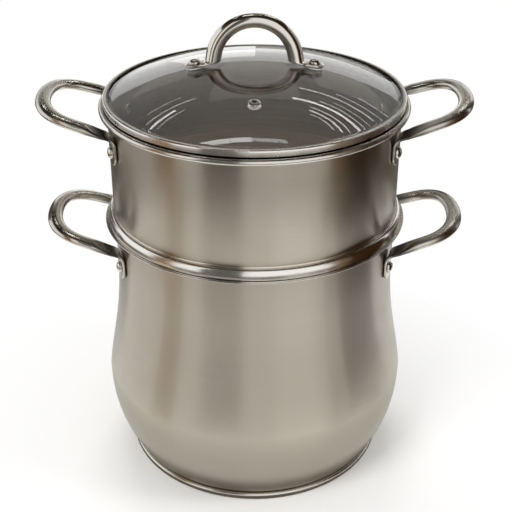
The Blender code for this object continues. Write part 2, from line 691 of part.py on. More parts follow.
def make_lid(root, looks):
    glass = add("lid_glass", turned("lid_glass", glass_outline(), TURN_STEPS), looks["glass"], root)
    add("lid_rim_band", turned("lid_rim_band", band_outline(), TURN_STEPS), looks["polished"], root)
    vent_place = dome_matrix(VENT_DISTANCE, -math.pi / 2)
    eyelet = turned("vent_eyelet", vent_outline(), FASTENER_STEPS)
    add("vent_eyelet", eyelet, looks["polished"], root, vent_place)
    handle = add("lid_handle", swept("lid_handle", lid_handle_stations()), looks["polished"], root)
    sides = {"right": 0.0, "left": math.pi}
    screws = {side: dome_matrix(ARCH_SCREW_DISTANCE, heading) for side, heading in sides.items()}
    hole = SCREW_RADIUS + SCREW_PLAY
    through = (-GLASS_THICKNESS - CUT_OVERRUN, CUT_OVERRUN)
    drill(glass, screws.values(), hole, *through, FASTENER_STEPS)
    drill(glass, [vent_place], VENT_TUBE_RADIUS + VENT_HOLE_PLAY, *through, FASTENER_STEPS)
    drill(handle, screws.values(), hole, -CUT_OVERRUN, TAB_TOP + CUT_OVERRUN, FASTENER_STEPS)
    screw = turned("lid_screw", screw_outline(), FASTENER_STEPS)
    outer_ring = ring_outline(hole, GASKET_RADIUS, SEAT_GAP, SEAT_GAP + GASKET_THICKNESS)
    outer = turned("outer_gasket", outer_ring, FASTENER_STEPS)
    inner_bottom = INNER_GASKET_TOP - GASKET_THICKNESS
    inner_ring = ring_outline(hole, GASKET_RADIUS, inner_bottom, INNER_GASKET_TOP)
    inner = turned("inner_gasket", inner_ring, FASTENER_STEPS)
    nut = turned("lid_nut", ring_outline(hole, NUT_RADIUS, NUT_TOP - NUT_HEIGHT, NUT_TOP), HOLE_SIDES)
    for side, place in screws.items():
        add(f"lid_screw_{side}", screw, looks["polished"], root, place)
        add(f"outer_gasket_{side}", outer, looks["silicone"], root, place)
        add(f"inner_gasket_{side}", inner, looks["silicone"], root, place)
        add(f"lid_nut_{side}", nut, looks["polished"], root, place)


def main():
    for old in list(bpy.data.objects):
        bpy.data.objects.remove(old)
    looks = {
        "satin": material("satin_steel", (0.56, 0.53, 0.48), 1.0, 0.32),
        "polished": material("polished_steel", (0.66, 0.64, 0.60), 1.0, 0.12),
        "aluminium": material("aluminium", (0.60, 0.60, 0.61), 1.0, 0.45),
        "glass": material("tempered_glass", (0.88, 0.92, 0.90), 0.0, 0.03, 1.0),
        "silicone": material("silicone", (0.72, 0.71, 0.68), 0.0, 0.5),
    }
    pot = empty("pot_axis", 0.0)
    steamer = empty("steamer_axis", SHOULDER_HEIGHT, pot)
    lid = empty("lid_axis", BAND_SEAT_HEIGHT, steamer)
    make_pot(pot, looks)
    make_steamer(steamer, looks)
    make_lid(lid, looks)


main()
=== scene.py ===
"""Looks of a couscoussier: a bellied pot, a steamer that stands in its mouth and a domed glass lid."""

import math

import bmesh
import bpy
from mathutils import Matrix, Vector


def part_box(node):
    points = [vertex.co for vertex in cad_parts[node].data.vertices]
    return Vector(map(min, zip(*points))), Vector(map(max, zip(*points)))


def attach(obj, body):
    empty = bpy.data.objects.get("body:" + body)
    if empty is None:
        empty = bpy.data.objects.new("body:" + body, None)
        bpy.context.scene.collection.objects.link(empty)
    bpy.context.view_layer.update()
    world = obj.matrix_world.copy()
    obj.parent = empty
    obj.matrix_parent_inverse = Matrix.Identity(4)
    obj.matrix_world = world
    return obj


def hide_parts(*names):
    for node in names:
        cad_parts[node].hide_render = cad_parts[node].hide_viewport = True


bl_info = {
    "name": "Couscoussier",
    "version": (1, 0, 0),
    "blender": (4, 5, 0),
    "location": "View3D > Sidebar > Couscoussier",
    "description": "Models a stainless couscoussier with its steamer and glass lid",
    "category": "Add Mesh",
}

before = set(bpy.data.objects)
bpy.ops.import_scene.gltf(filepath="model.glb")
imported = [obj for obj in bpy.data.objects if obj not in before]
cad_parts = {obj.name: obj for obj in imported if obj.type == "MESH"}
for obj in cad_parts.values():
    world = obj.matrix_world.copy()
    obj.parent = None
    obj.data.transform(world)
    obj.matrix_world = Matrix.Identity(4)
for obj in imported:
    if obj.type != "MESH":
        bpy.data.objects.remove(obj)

# How finely things are drawn
TURN_STEPS = 192
SMALL_TURN_STEPS = 48
HOLE_SIDES = 20
FIRST_RING_HOLES = 6
NUT_SIDES = 6
TUBE_POINTS = 40
BELLY_STEPS = 48
BEAD_STEPS = 28
CURL_STEPS = 24
HEAD_STEPS = 10
CURVE_STEPS = 12
ROUNDING_STEPS = 6
EDGE_STEPS = 5
TAB_TIP_STEPS = 8
TIP_THICKENING_STEPS = 3
CRIMP_STEPS = 14
LOOP_END_STEPS = 30
HEEL_STEPS = 18
ARCH_STEPS = 34
CARD_STEPS = 64
FULL_TURN = 2 * math.pi
SHARP_ANGLE = math.radians(38)
MERGE_DISTANCE = 1e-6

# Clearances between pieces. Flat parts stand a little further off under the curved glass.
SEAT_GAP = 0.0003
SLIDING_GAP = 0.0009
FLANGE_GAP = SEAT_GAP * 1.5
WASHER_GAP = SEAT_GAP * 1.6

# How far the drill for the steam holes reaches above and below the floor's top
DRILL_REACH = 0.004

# Powers of the curve that a tube's section follows, from round to nearly square
ROUND = 2.0
CRIMPED = 4.0
FLAT = 5.0

# Shares of a flat foot: its tip's width and thickness, and its thickness where the crimp begins
TIP_WIDTH = 0.12
TIP_THICKNESS = 0.55
CRIMP_SWELL = 1.3

# The most that a rounding takes of a side, and the most that a corner spreads a sheet's thickness
LONGEST_CUT = 0.49
WIDEST_SPREAD = 2.0

# Roundings: of the glass's edge, of a dome head, and of the steamer's seat in sheet thicknesses
GLASS_EDGE = 0.001
HEAD_FULLNESS = 0.9
SEAT_ROUNDING = 1.2

# The point of the belly's curve that the floor's bend leads into
BELLY_START = 4

# How far a finish reaches past the bead's height, and past the radius of the vent's bore
ABOVE_BEAD = 1.02
ROUND_BORE = 1.1

# Radii over which the painted shade on a loop handle's crimp sets in, and over which it fades again
SHADE_SETS_IN = (0.1175, 0.1205)
SHADE_FADES = (0.126, 0.139)

# How much of a seam's painted shade is laid where the seam stands open to the light
OPEN_SEAM = 0.6

# The lamps' colour, and the bright cards above the glass
LAMP_WHITE = (1.0, 0.985, 0.96)
STRIP_HEIGHT = 1.45
STRIP_WHITE = (1.0, 0.99, 0.97)
ARC_DISTANCE = 0.60

# Heights and radii of the solids that the fine pieces follow
POT_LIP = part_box("pot_body")[1][2]
POT_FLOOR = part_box("pot_body")[0][2]
BELLY_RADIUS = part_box("pot_body")[1][1]
CAP_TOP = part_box("pot_base_cap")[1][2]
CAP_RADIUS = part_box("pot_base_cap")[1][1]
RIM_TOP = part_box("steamer_body")[1][2]
DOME_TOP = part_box("lid_glass")[1][2]
GLASS_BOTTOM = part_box("lid_glass")[0][2]
GLASS_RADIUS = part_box("lid_glass")[1][1]
ARCH_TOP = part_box("lid_handle")[1][2]


# Settings


def length(label, default, description):
    return bpy.props.FloatProperty(
        name=label, description=description, default=default, min=0.0, precision=4, unit="LENGTH"
    )


def share(label, default, description, highest=1.0):
    return bpy.props.FloatProperty(
        name=label, description=description, default=default, min=0.0, max=highest, subtype="FACTOR"
    )


def angle(label, degrees, description):
    return bpy.props.FloatProperty(
        name=label, description=description, default=math.radians(degrees), subtype="ANGLE", unit="ROTATION"
    )


def colour(label, default, description):
    return bpy.props.FloatVectorProperty(
        name=label, description=description, default=default, size=3, min=0.0, max=1.0, subtype="COLOR"
    )


class PotSizes(bpy.types.PropertyGroup):
    neck_radius: length("Neck radius", 0.1143, "Outside of the pot's neck")
    neck_length: length("Neck length", 0.0408, "Straight neck, from the shoulder to the lip's edge")
    neck_ease: share("Neck ease", 0.68, "How early the shoulder draws in")
    sheet: length("Sheet", 0.0009, "Thickness of the pot's steel")
    lip_width: length("Lip width", 0.0076, "How far the lip stands out from the neck")
    lip_bend: length("Lip bend", 0.003, "Radius of the bend under the lip")
    belly_rise: length("Belly rise", 0.0693, "Height of the widest place above the floor")
    belly_roundness: share("Belly roundness", 2.3, "Power of the lower curve", 4.0)
    floor_radius: length("Floor radius", 0.1067, "Where the lower curve meets the flat floor")
    floor_bend: length("Floor bend", 0.0045, "Radius of the bend from the floor to the wall")
    cap_sheet: length("Cap sheet", 0.0008, "Thickness of the base's steel cap")
    cap_corner: length("Cap corner", 0.002, "Rounding of the base's edge")
    cap_lip_radius: length("Cap lip radius", 0.1027, "Where the cap's top edge ends, under the floor")


class SteamerSizes(bpy.types.PropertyGroup):
    radius: length("Radius", 0.115, "Outside of the steamer's wall")
    sheet: length("Sheet", 0.0008, "Thickness of the steamer's steel")
    skirt_length: length("Skirt length", 0.0098, "How deep the steamer enters the pot's mouth")
    bead_swell: length("Bead swell", 0.0045, "How far the bead stands out from the wall")
    bead_height: length("Bead height", 0.009, "Height of the bead above the pot's lip")
    bead_roundness: share("Bead roundness", 2.6, "Power of the bead's curve", 6.0)
    bead_groove: length("Bead groove", 0.0006, "Depth of the groove rolled above the bead")
    rim_bend: length("Rim bend", 0.004, "Radius of the bend under the rolled rim")
    curl_radius: length("Curl radius", 0.0025, "Radius of the rolled rim")
    curl_sweep: angle("Curl sweep", 232, "How far the rim is rolled under")
    floor_sheet: length("Floor sheet", 0.0008, "Thickness of the perforated floor")
    floor_height: length("Floor height", 0.024, "Height of the floor above the ledge it stands on")
    floor_bend: length("Floor bend", 0.002, "Rounding of the floor's edge")
    hole_radius: length("Hole radius", 0.0018, "Radius of the steam holes")
    hole_pitch: length("Hole pitch", 0.021, "Distance between the rings of holes")
    hole_rings: bpy.props.IntProperty(name="Hole rings", description="Rings of holes", default=4, min=1)


class LidSizes(bpy.types.PropertyGroup):
    glass: length("Glass", 0.0037, "Thickness of the glass")
    flat_edge: length("Flat edge", 0.0039, "Width of the glass's edge under the steel band")
    dome_rise: length("Dome rise", 0.0235, "Height of the dome above its edge")
    band_sheet: length("Band sheet", 0.0007, "Thickness of the steel band")
    band_grip: length("Band grip", 0.0033, "How far the band reaches over the glass")
    band_skirt: length("Band skirt", 0.0063, "How deep the band enters the steamer's mouth")
    band_corner: length("Band corner", 0.0014, "Rounding of the band's corners")
    vent_distance: length("Vent distance", 0.066, "Distance of the steam vent from the axis")
    vent_bore: length("Vent bore", 0.0018, "Radius of the vent's bore")
    vent_tube: length("Vent tube", 0.0032, "Radius of the vent's tube")
    vent_flange: length("Vent flange", 0.005, "Radius of the vent's flange")
    vent_flange_thickness: length("Vent flange thickness", 0.0011, "Thickness of the vent's flange")


class HandleSizes(bpy.types.PropertyGroup):
    mount_angle: angle("Mount angle", 23, "Angle of each foot round the wall from the handle's middle")
    tab_width: length("Tab width", 0.014, "Width of a flattened foot")
    tab_thickness: length("Tab thickness", 0.0022, "Thickness of a flattened foot")
    tab_drop: length("Tab drop", 0.010, "How far a foot reaches below its rivet")
    tube_width: length("Tube width", 0.0120, "Width of the oval tube")
    tube_thickness: length("Tube thickness", 0.0080, "Thickness of the oval tube")
    reach: length("Reach", 0.0549, "How far the loop stands out from the wall")
    end_length: length("End length", 0.0255, "Length of the loop's rounded end")
    half_width: length("Half width", 0.0470, "Half the loop's width where its end begins")
    end_roundness: share("End roundness", 0.64, "How full the loop's end is")
    rise: length("Rise", 0.0175, "How far the loop climbs to its end")
    bend: length("Bend", 0.0068, "Size of the bend above a foot")
    crimp: length("Crimp", 0.017, "Length over which the tube is flattened")
    pot_rivet_drop: length("Pot rivet drop", 0.0295, "Rivets below the pot's lip")
    steamer_rivet_drop: length("Steamer rivet drop", 0.0265, "Rivets below the steamer's rim")
    rivet_radius: length("Rivet radius", 0.0023, "Radius of a rivet's shank")
    rivet_dome_radius: length("Rivet dome radius", 0.0047, "Radius of a rivet's head")
    rivet_dome_height: length("Rivet dome height", 0.0027, "Height of a rivet's head")
    rivet_inner_radius: length("Rivet inner radius", 0.0045, "Radius of a rivet's inner head")
    rivet_inner_thickness: length("Rivet inner thickness", 0.0011, "Thickness of a rivet's inner head")


class ArchSizes(bpy.types.PropertyGroup):
    radius: length("Radius", 0.0314, "Radius of the arch along its tube")
    leg_radius: length("Leg radius", 0.0061, "Radius of the tube in the legs")
    crown_radius: length("Crown radius", 0.0055, "Radius of the tube at the top")
    leg_start: angle("Leg start", 10, "Where the heel ends and the arch begins")
    heel_fillet: length("Heel fillet", 0.0014, "Radius of the hollow between leg and foot")
    heel_roundness: share("Heel roundness", 3.0, "How long the leg stays full towards the foot", 6.0)
    tab_width: length("Tab width", 0.0145, "Width of a flattened foot")
    tab_thickness: length("Tab thickness", 0.0022, "Thickness of a flattened foot")
    tab_overhang: length("Tab overhang", 0.0076, "How far a foot reaches past its screw")
    foot_reach: length("Foot reach", 0.0142, "Distance of a screw from the leg's middle")
    gasket_radius: length("Gasket radius", 0.0072, "Radius of the washers")
    gasket_thickness: length("Gasket thickness", 0.001, "Thickness of the washers")
    screw_radius: length("Screw radius", 0.002, "Radius of a screw's shank")
    screw_play: length("Screw play", 0.0004, "Clearance round the shank")
    screw_end: length("Screw end", 0.001, "How far a screw reaches past its nut")
    head_radius: length("Head radius", 0.0047, "Radius of a screw's head")
    head_height: length("Head height", 0.0028, "Height of a screw's head")
    nut_radius: length("Nut radius", 0.0043, "Radius of a nut over its corners")
    nut_height: length("Nut height", 0.0034, "Height of a nut")


class SteelLooks(bpy.types.PropertyGroup):
    satin: colour("Satin", (0.515, 0.475, 0.405), "Brushed steel of the walls")
    # The inner colour is a darker copy of the satin steel: painted shade for the insides
    inner: colour("Inner", (0.32, 0.285, 0.235), "Steel inside, where little light comes")
    satin_roughness: share("Satin roughness", 0.30, "Roughness of the brushed walls")
    satin_stretch: share("Satin stretch", 0.80, "How far the brushing draws highlights out")
    polished: colour("Polished", (0.70, 0.67, 0.615), "Polished steel of rims, arch and screws")
    polished_roughness: share("Polished roughness", 0.12, "Roughness of the arch, screws and rivets")
    rim_roughness: share("Rim roughness", 0.23, "Roughness of lips, rims, bead and base")
    # The band colour is a lighter copy of the polished steel: a painted highlight on the lid's band and the
    # steamer's bead
    band: colour("Band", (0.86, 0.83, 0.78), "Brighter steel of the lid's band")
    handle: colour("Handle", (0.64, 0.61, 0.55), "Softer steel of the loop handles")
    handle_roughness: share("Handle roughness", 0.27, "Roughness of the loop handles")
    # Painted shade: how dark a loop handle's crimp is painted, as base colour
    handle_root_painted_shade: share("Handle root", 0.16, "Shade of a loop handle where it meets the wall")
    # Painted shade: how dark the seams round the lid's band are painted, as base colour
    seam: share("Seam", 0.07, "Shade of the steel in the seams round the lid's band")
    # The vent colour is a near-white copy of the polished steel: a painted highlight on the vent's ring
    vent: colour("Vent", (0.93, 0.91, 0.87), "Bright ring of the steam vent")
    vent_roughness: share("Vent roughness", 0.34, "Roughness of the steam vent")
    glass: colour("Glass", (0.89, 0.875, 0.845), "Tint of the tempered glass")
    silicone: colour("Silicone", (0.60, 0.59, 0.56), "Washers under the handle")
    aluminium: colour("Aluminium", (0.58, 0.58, 0.59), "Plate inside the base")


class StageSettings(bpy.types.PropertyGroup):
    camera_distance: length("Camera distance", 0.787, "Camera in front of the pot's axis")
    camera_height: length("Camera height", 0.608, "Camera above the floor")
    camera_offset: length("Camera offset", 0.0011, "Camera beside the pot's axis")
    camera_pitch: angle("Camera pitch", 29, "How far the camera looks down")
    camera_lens: bpy.props.FloatProperty(
        name="Lens", description="Focal length in mm", default=74.8, min=1.0
    )
    floor_radius: length("Floor radius", 6.0, "Radius of the floor")
    shadow_start: length("Shadow start", 0.112, "Where the floor's shadow begins to fade")
    shadow_end: length("Shadow end", 0.30, "Where the floor turns wholly white")
    paper: colour("Paper", (0.93, 0.93, 0.925), "Colour of the floor under the pot")
    fill: share("Fill", 0.55, "Strength of the light from all round")


SETTINGS = {
    "pot_sizes": PotSizes,
    "steamer_sizes": SteamerSizes,
    "lid_sizes": LidSizes,
    "handle_sizes": HandleSizes,
    "arch_sizes": ArchSizes,
    "steel_looks": SteelLooks,
    "stage_settings": StageSettings,
}


# Shaders


class Shade:
    """A socket of a material's nodes, on which Python's operators add Math nodes."""

    def __init__(self, tree, socket):
        self.tree = tree
        self.socket = socket

    def math(self, operation, other):
        return add_node(self.tree, "ShaderNodeMath", {"operation": operation}, {0: self, 1: other})

    def __add__(self, other):
        return self.math("ADD", other)

    __radd__ = __add__

    def __mul__(self, other):
        return self.math("MULTIPLY", other)

    __rmul__ = __mul__

    def __pow__(self, other):
        return self.math("POWER", other)


def feed(tree, socket, value):
    """Links a shade to the socket, or gives it a plain value."""
    if isinstance(value, Shade):
        tree.links.new(value.socket, socket)
    else:
        socket.default_value = value


def add_node(tree, kind, settings, inputs, output=0):
    """A node with its settings made first, then its sockets' values or links. It gives one output."""
    node = tree.nodes.new(kind)
    for name, value in settings.items():
        setattr(node, name, value)
    for name, value in inputs.items():
        feed(tree, node.inputs[name], value)
    return Shade(tree, node.outputs[output])


class Finish:
    """A material under way: its nodes and its Principled shader."""

    def __init__(self, name):
        self.material = bpy.data.materials.new(name)
        self.material.use_nodes = True
        self.tree = self.material.node_tree
        self.shader = self.tree.nodes["Principled BSDF"]

    def node(self, kind, settings, inputs, output=0):
        return add_node(self.tree, kind, settings, inputs, output)

    def place(self):
        """The object's coordinates in metres, as a vector."""
        return self.node("ShaderNodeTexCoord", {}, {}, "Object")

    def from_axis(self):
        """(x, y, height, radius) of the place, with the radius from the Z axis."""
        split = self.node("ShaderNodeSeparateXYZ", {}, {"Vector": self.place()}).socket.node
        x, y, height = (Shade(self.tree, output) for output in split.outputs)
        return x, y, height, (x * x + y * y) ** 0.5

    def noise(self, place, scale, detail=3.0, roughness=0.5):
        inputs = {"Vector": place, "Scale": scale, "Detail": detail, "Roughness": roughness}
        return self.node("ShaderNodeTexNoise", {}, inputs, "Fac")

    def span(self, value, low, high, to_low=0.0, to_high=1.0):
        inputs = {"Value": value, "From Min": low, "From Max": high, "To Min": to_low, "To Max": to_high}
        return self.node("ShaderNodeMapRange", {"clamp": True}, inputs)

    def near(self, value, edge, clear, width, depth=1.0):
        """The depth up to a clearance past the edge, fading to nothing over the width."""
        return self.span(value, edge + clear, edge + clear + width, depth, 0.0)

    def mix(self, factor, first, second):
        """A blend of two colours. The Mix node's colours are its sockets 6 and 7, and its output 2."""
        return self.node("ShaderNodeMix", {"data_type": "RGBA"}, {0: factor, 6: first, 7: second}, 2)

    def bump(self, height, strength, distance):
        inputs = {"Height": height, "Strength": strength, "Distance": distance}
        return self.node("ShaderNodeBump", {}, inputs)

    def set(self, **values):
        """Principled sockets by name, with underscores for spaces."""
        for name, value in values.items():
            feed(self.tree, self.shader.inputs[name.replace("_", " ")], value)
        return self.material


def tone(base, factor):
    return (*(min(channel * factor, 1.0) for channel in base), 1.0)


def brushing(finish, fine, coarse):
    """Lines that run round the axis on walls and discs alike, from a noise that is stretched along them."""
    x, y, height, radius = finish.from_axis()
    parts = {"X": x * coarse, "Y": y * coarse, "Z": (height + radius) * fine}
    stretched = finish.node("ShaderNodeCombineXYZ", {}, parts)
    return finish.noise(stretched, scale=1.0, detail=4.0, roughness=0.62)


def satin_steel(name, colour_here, stretch, roughness, contrast=0.035):
    """Brushed steel: hairlines round the axis, cloudy patches of sheen and a few smears."""
    finish = Finish(name)
    lines = brushing(finish, fine=2600.0, coarse=16.0)
    bands = brushing(finish, fine=260.0, coarse=7.0)
    clouds = finish.noise(finish.place(), scale=9.0, detail=2.0)
    smears = finish.noise(finish.place(), scale=34.0, detail=5.0, roughness=0.6)
    shade = finish.span(lines * 0.6 + bands * 0.4, 0.3, 0.7)
    base = finish.mix(shade, tone(colour_here, 1.0 - contrast), tone(colour_here, 1.0 + contrast))
    warm = (colour_here[0] * 1.02, colour_here[1] * 0.98, colour_here[2] * 0.92)
    base = finish.mix(finish.span(clouds, 0.35, 0.7, 0.0, 0.55), base, tone(warm, 0.97))
    rough = finish.span(lines, 0.25, 0.75, roughness * 0.92, roughness * 1.08)
    rough = rough + finish.span(smears, 0.45, 0.75, 0.0, 0.045)
    finish.set(Base_Color=base, Roughness=rough, Normal=finish.bump(lines, strength=0.06, distance=0.00008))
    return finish.set(Metallic=1.0, Anisotropic=stretch, Anisotropic_Rotation=0.25)


def crimp_painted_shade(finish, radius, height):
    """Mask of the painted shade where a loop handle is crimped flat, off the foot on the wall."""
    return finish.span(radius, *SHADE_SETS_IN) * finish.span(radius, *SHADE_FADES, 1.0, 0.0)


def band_seam_painted_shade(finish, radius, height):
    """Painted shade along the glass, and above the rim that the band stands on."""
    grip = GLASS_RADIUS - bpy.context.scene.lid_sizes.band_grip
    inner = finish.near(radius, grip, clear=0.0008, width=0.0009)
    foot = finish.near(height, RIM_TOP, clear=0.0008, width=0.0008, depth=OPEN_SEAM)
    return inner.math("MAXIMUM", foot)


def rim_seam_painted_shade(finish, radius, height):
    """Painted shade round the foot of the lid's band."""
    band = GLASS_RADIUS + SEAT_GAP + bpy.context.scene.lid_sizes.band_sheet
    on_top = finish.span(height, RIM_TOP - 0.0012, RIM_TOP - 0.0006)
    return on_top * finish.near(radius, band, clear=0.0005, width=0.0008, depth=OPEN_SEAM)


def polished_steel(name, colour_here, roughness, shaded=None, depth=1.0):
    """Bright steel with faint marks of handling, and painted shade, as dark as the depth gives, where the
    shaded mask lays it.
    """
    finish = Finish(name)
    clouds = finish.noise(finish.place(), scale=26.0, detail=3.0)
    grain = finish.noise(finish.place(), scale=900.0, detail=2.0)
    base = finish.mix(finish.span(clouds, 0.35, 0.65), tone(colour_here, 0.96), tone(colour_here, 1.04))
    if shaded:
        _, _, height, radius = finish.from_axis()
        base = finish.mix(shaded(finish, radius, height), base, tone(colour_here, depth))
    rough = finish.span(clouds, 0.4, 0.7, roughness * 0.7, roughness * 1.5)
    rough = rough + finish.span(grain, 0.55, 0.8, 0.0, 0.04)
    normal = finish.bump(grain, strength=0.04, distance=0.00005)
    return finish.set(Base_Color=base, Metallic=1.0, Roughness=rough, Normal=normal)


def tempered_glass(name, looks):
    """Clear glass with a faint film of smears."""
    finish = Finish(name)
    smears = finish.noise(finish.place(), scale=30.0, detail=4.0)
    rough = finish.span(smears, 0.45, 0.75, 0.005, 0.05)
    return finish.set(Base_Color=tone(looks.glass, 1.0), Roughness=rough, Transmission_Weight=1.0, IOR=1.5)


def speckled(finish, pattern, colour_here, tones, roughnesses, metallic):
    """A plain material whose colour, roughness and height follow one pattern."""
    base = finish.mix(finish.span(pattern, 0.3, 0.7), *(tone(colour_here, factor) for factor in tones))
    rough = finish.span(pattern, 0.3, 0.7, *roughnesses)
    normal = finish.bump(pattern, strength=0.1, distance=0.0001)
    return finish.set(Base_Color=base, Metallic=metallic, Roughness=rough, Normal=normal)


def silicone(name, looks):
    finish = Finish(name)
    dust = finish.noise(finish.place(), scale=700.0)
    return speckled(finish, dust, looks.silicone, (0.92, 1.05), (0.42, 0.56), metallic=0.0)


def pressed_aluminium(name, looks):
    finish = Finish(name)
    lines = brushing(finish, fine=900.0, coarse=30.0)
    return speckled(finish, lines, looks.aluminium, (0.9, 1.05), (0.4, 0.5), metallic=1.0)


def look(kind):
    """One of the object's finishes, made the first time it is asked for."""
    found = bpy.data.materials.get(kind)
    if found:
        return found
    looks = bpy.context.scene.steel_looks
    satin, rim = looks.satin_roughness, looks.rim_roughness
    makers = {
        "wall_steel": (satin_steel, looks.satin, looks.satin_stretch, satin),
        # Painted shade: the insides are a darker copy of the satin steel; their strong ring bands are
        # partly brushing and partly painted reflection
        "inner_steel": (satin_steel, looks.inner, looks.satin_stretch / 2, satin, 0.3),
        "bright_steel": (polished_steel, looks.polished, looks.polished_roughness),
        "rim_steel": (polished_steel, looks.polished, rim),
        # bead_steel and band_steel take the lighter band colour, a painted highlight
        "bead_steel": (polished_steel, looks.band, rim),
        # The lid's band and the steamer's rim carry painted shade in the seams round the band
        "band_steel": (polished_steel, looks.band, rim, band_seam_painted_shade, looks.seam),
        "seat_steel": (polished_steel, looks.polished, rim, rim_seam_painted_shade, looks.seam),
        # The loop handles carry painted shade at their crimps
        "handle_steel": (polished_steel, looks.handle, looks.handle_roughness, crimp_painted_shade, looks.handle_root_painted_shade),
        # vent_steel takes the near-white vent colour, a painted highlight
        "vent_steel": (polished_steel, looks.vent, looks.vent_roughness),
        "lid_glass_finish": (tempered_glass, looks),
        "washer_silicone": (silicone, looks),
        "core_aluminium": (pressed_aluminium, looks),
    }
    make, *settings = makers[kind]
    return make(kind, *settings)


# Outlines in (radius, height)


def arc(centre, radius, start, end, steps=CURVE_STEPS):
    angles = [start + (end - start) * step / steps for step in range(steps + 1)]
    return [(centre[0] + radius * math.cos(a), centre[1] + radius * math.sin(a)) for a in angles]


def rounded(points, radius):
    """The polyline with each inner corner replaced by an arc of about this radius."""
    made = [points[0]]
    for before, here, after in zip(points, points[1:], points[2:]):
        into = Vector(here) - Vector(before)
        out = Vector(after) - Vector(here)
        turn = into.angle(out, 0.0)
        cut = min(radius * math.tan(turn / 2), into.length * LONGEST_CUT, out.length * LONGEST_CUT)
        start = Vector(here) - into.normalized() * cut
        end = Vector(here) + out.normalized() * cut
        for step in range(ROUNDING_STEPS + 1):
            part = step / ROUNDING_STEPS
            point = start * (1 - part) ** 2 + Vector(here) * 2 * part * (1 - part) + end * part**2
            made.append(tuple(point))
    return made + [points[-1]]


def normals(path):
    """For each point of the path, the unit vector to its left and how far a corner spreads it."""
    found = []
    for index, point in enumerate(path):
        here = Vector(point)
        before = Vector(path[max(index - 1, 0)])
        after = Vector(path[min(index + 1, len(path) - 1)])
        into = (here - before).normalized() if index else (after - here).normalized()
        out = (after - here).normalized() if index < len(path) - 1 else into
        middle = (into + out).normalized()
        left = Vector((-middle.y, middle.x))
        found.append((left, 1 / max(left.dot(Vector((-into.y, into.x))), 1 / WIDEST_SPREAD)))
    return found


def sheet(path, thickness):
    """The outline of a bent sheet: the path, its offset to the left, and a round edge at each free end."""
    offsets = normals(path)
    pairs = zip(path, offsets)
    inner = [tuple(Vector(point) + left * spread * thickness) for point, (left, spread) in pairs]

    def edge(first, second):
        middle = (Vector(first) + Vector(second)) / 2
        reach = Vector(first) - middle
        side = Vector((-reach.y, reach.x))
        turns = [math.pi * step / EDGE_STEPS for step in range(1, EDGE_STEPS)]
        return [tuple(middle + reach * math.cos(t) + side * math.sin(t)) for t in turns]

    outline = path + edge(path[-1], inner[-1]) + inner[::-1]
    if path[0][0] > MERGE_DISTANCE:
        outline += edge(inner[0], path[0])
    return outline


def pot_outline(sizes):
    wall = []
    for step in range(BELLY_STEPS + 1):
        part = step / BELLY_STEPS
        draw_in = (BELLY_RADIUS - sizes.floor_radius) * (1 - part) ** sizes.belly_roundness
        wall.append((BELLY_RADIUS - draw_in, POT_FLOOR + sizes.belly_rise * part))
    path = rounded([(0.0, POT_FLOOR), wall[0], wall[BELLY_START]], sizes.floor_bend)
    path += wall[BELLY_START + 1 :]
    belly = POT_FLOOR + sizes.belly_rise
    shoulder = POT_LIP - sizes.neck_length
    for step in range(1, BELLY_STEPS + 1):
        part = step / BELLY_STEPS
        fade = 0.5 + 0.5 * math.cos(math.pi * part**sizes.neck_ease)
        path.append((blend(sizes.neck_radius, BELLY_RADIUS, fade), blend(belly, shoulder, part)))
    centre = (sizes.neck_radius + sizes.lip_bend, POT_LIP - sizes.sheet - sizes.lip_bend)
    path += arc(centre, sizes.lip_bend, math.pi, math.pi / 2)
    path.append((sizes.neck_radius + sizes.lip_width - sizes.sheet / 2, POT_LIP - sizes.sheet))
    return sheet(path, sizes.sheet)


def base_cap_outline(sizes):
    corner = sizes.cap_corner
    middle = CAP_RADIUS - corner
    path = [(0.0, 0.0), *arc((middle, corner), corner, -math.pi / 2, 0.0)]
    path += arc((middle, CAP_TOP - corner), corner, 0.0, math.pi / 2)
    path.append((sizes.cap_lip_radius, CAP_TOP))
    return sheet(path, sizes.cap_sheet)


def steamer_outline(sizes, pot):
    seat = POT_LIP + SEAT_GAP
    skirt = pot.neck_radius - pot.sheet - SLIDING_GAP
    bead = sizes.radius + sizes.bead_swell
    foot = seat + sizes.sheet
    corners = [(skirt, seat - sizes.skirt_length), (skirt, seat), (bead, seat), (bead, foot + sizes.sheet)]
    path = rounded(corners, sizes.sheet * SEAT_ROUNDING)[:-1]
    groove = sizes.bead_groove
    top = seat + sizes.bead_height - groove
    for step in range(1, BEAD_STEPS + 1):
        part = math.sin(math.pi / 2 * step / BEAD_STEPS)
        bulge = (1 - part**sizes.bead_roundness) ** (1 / sizes.bead_roundness)
        path.append((blend(sizes.radius - groove, bead, bulge), blend(foot, top, part)))
    flange = RIM_TOP - sizes.sheet
    curl = sizes.curl_radius - sizes.sheet
    wall = sizes.radius
    path += [(wall - groove, top + groove), (wall, top + groove * 3)]
    path.append((wall, flange - sizes.rim_bend - sizes.sheet))
    path += arc((wall + sizes.rim_bend, flange - sizes.rim_bend), sizes.rim_bend, math.pi, math.pi / 2)
    centre = (wall + sizes.rim_bend, flange - curl)
    path += arc(centre, curl, math.pi / 2, math.pi / 2 - sizes.curl_sweep, CURL_STEPS)[1:]
    return sheet(path, sizes.sheet)


def steamer_floor_outline(sizes):
    radius = sizes.radius - sizes.sheet - SLIDING_GAP / 2
    bottom = POT_LIP + SEAT_GAP + sizes.sheet + SEAT_GAP
    under = bottom + sizes.floor_height - sizes.floor_sheet
    bend = sizes.floor_bend - sizes.floor_sheet
    path = [(0.0, under), (radius / 2, under)]
    path += arc((radius - sizes.floor_bend, under - bend), bend, math.pi / 2, 0.0)
    path.append((radius - sizes.floor_sheet, bottom + sizes.floor_sheet / 2))
    return sheet(path, sizes.floor_sheet)


def dome_sizes(sizes):
    """(radius of the dome's sphere, height of its centre)"""
    edge = GLASS_RADIUS - sizes.flat_edge
    radius = (edge**2 + sizes.dome_rise**2) / (2 * sizes.dome_rise)
    return radius, DOME_TOP - radius


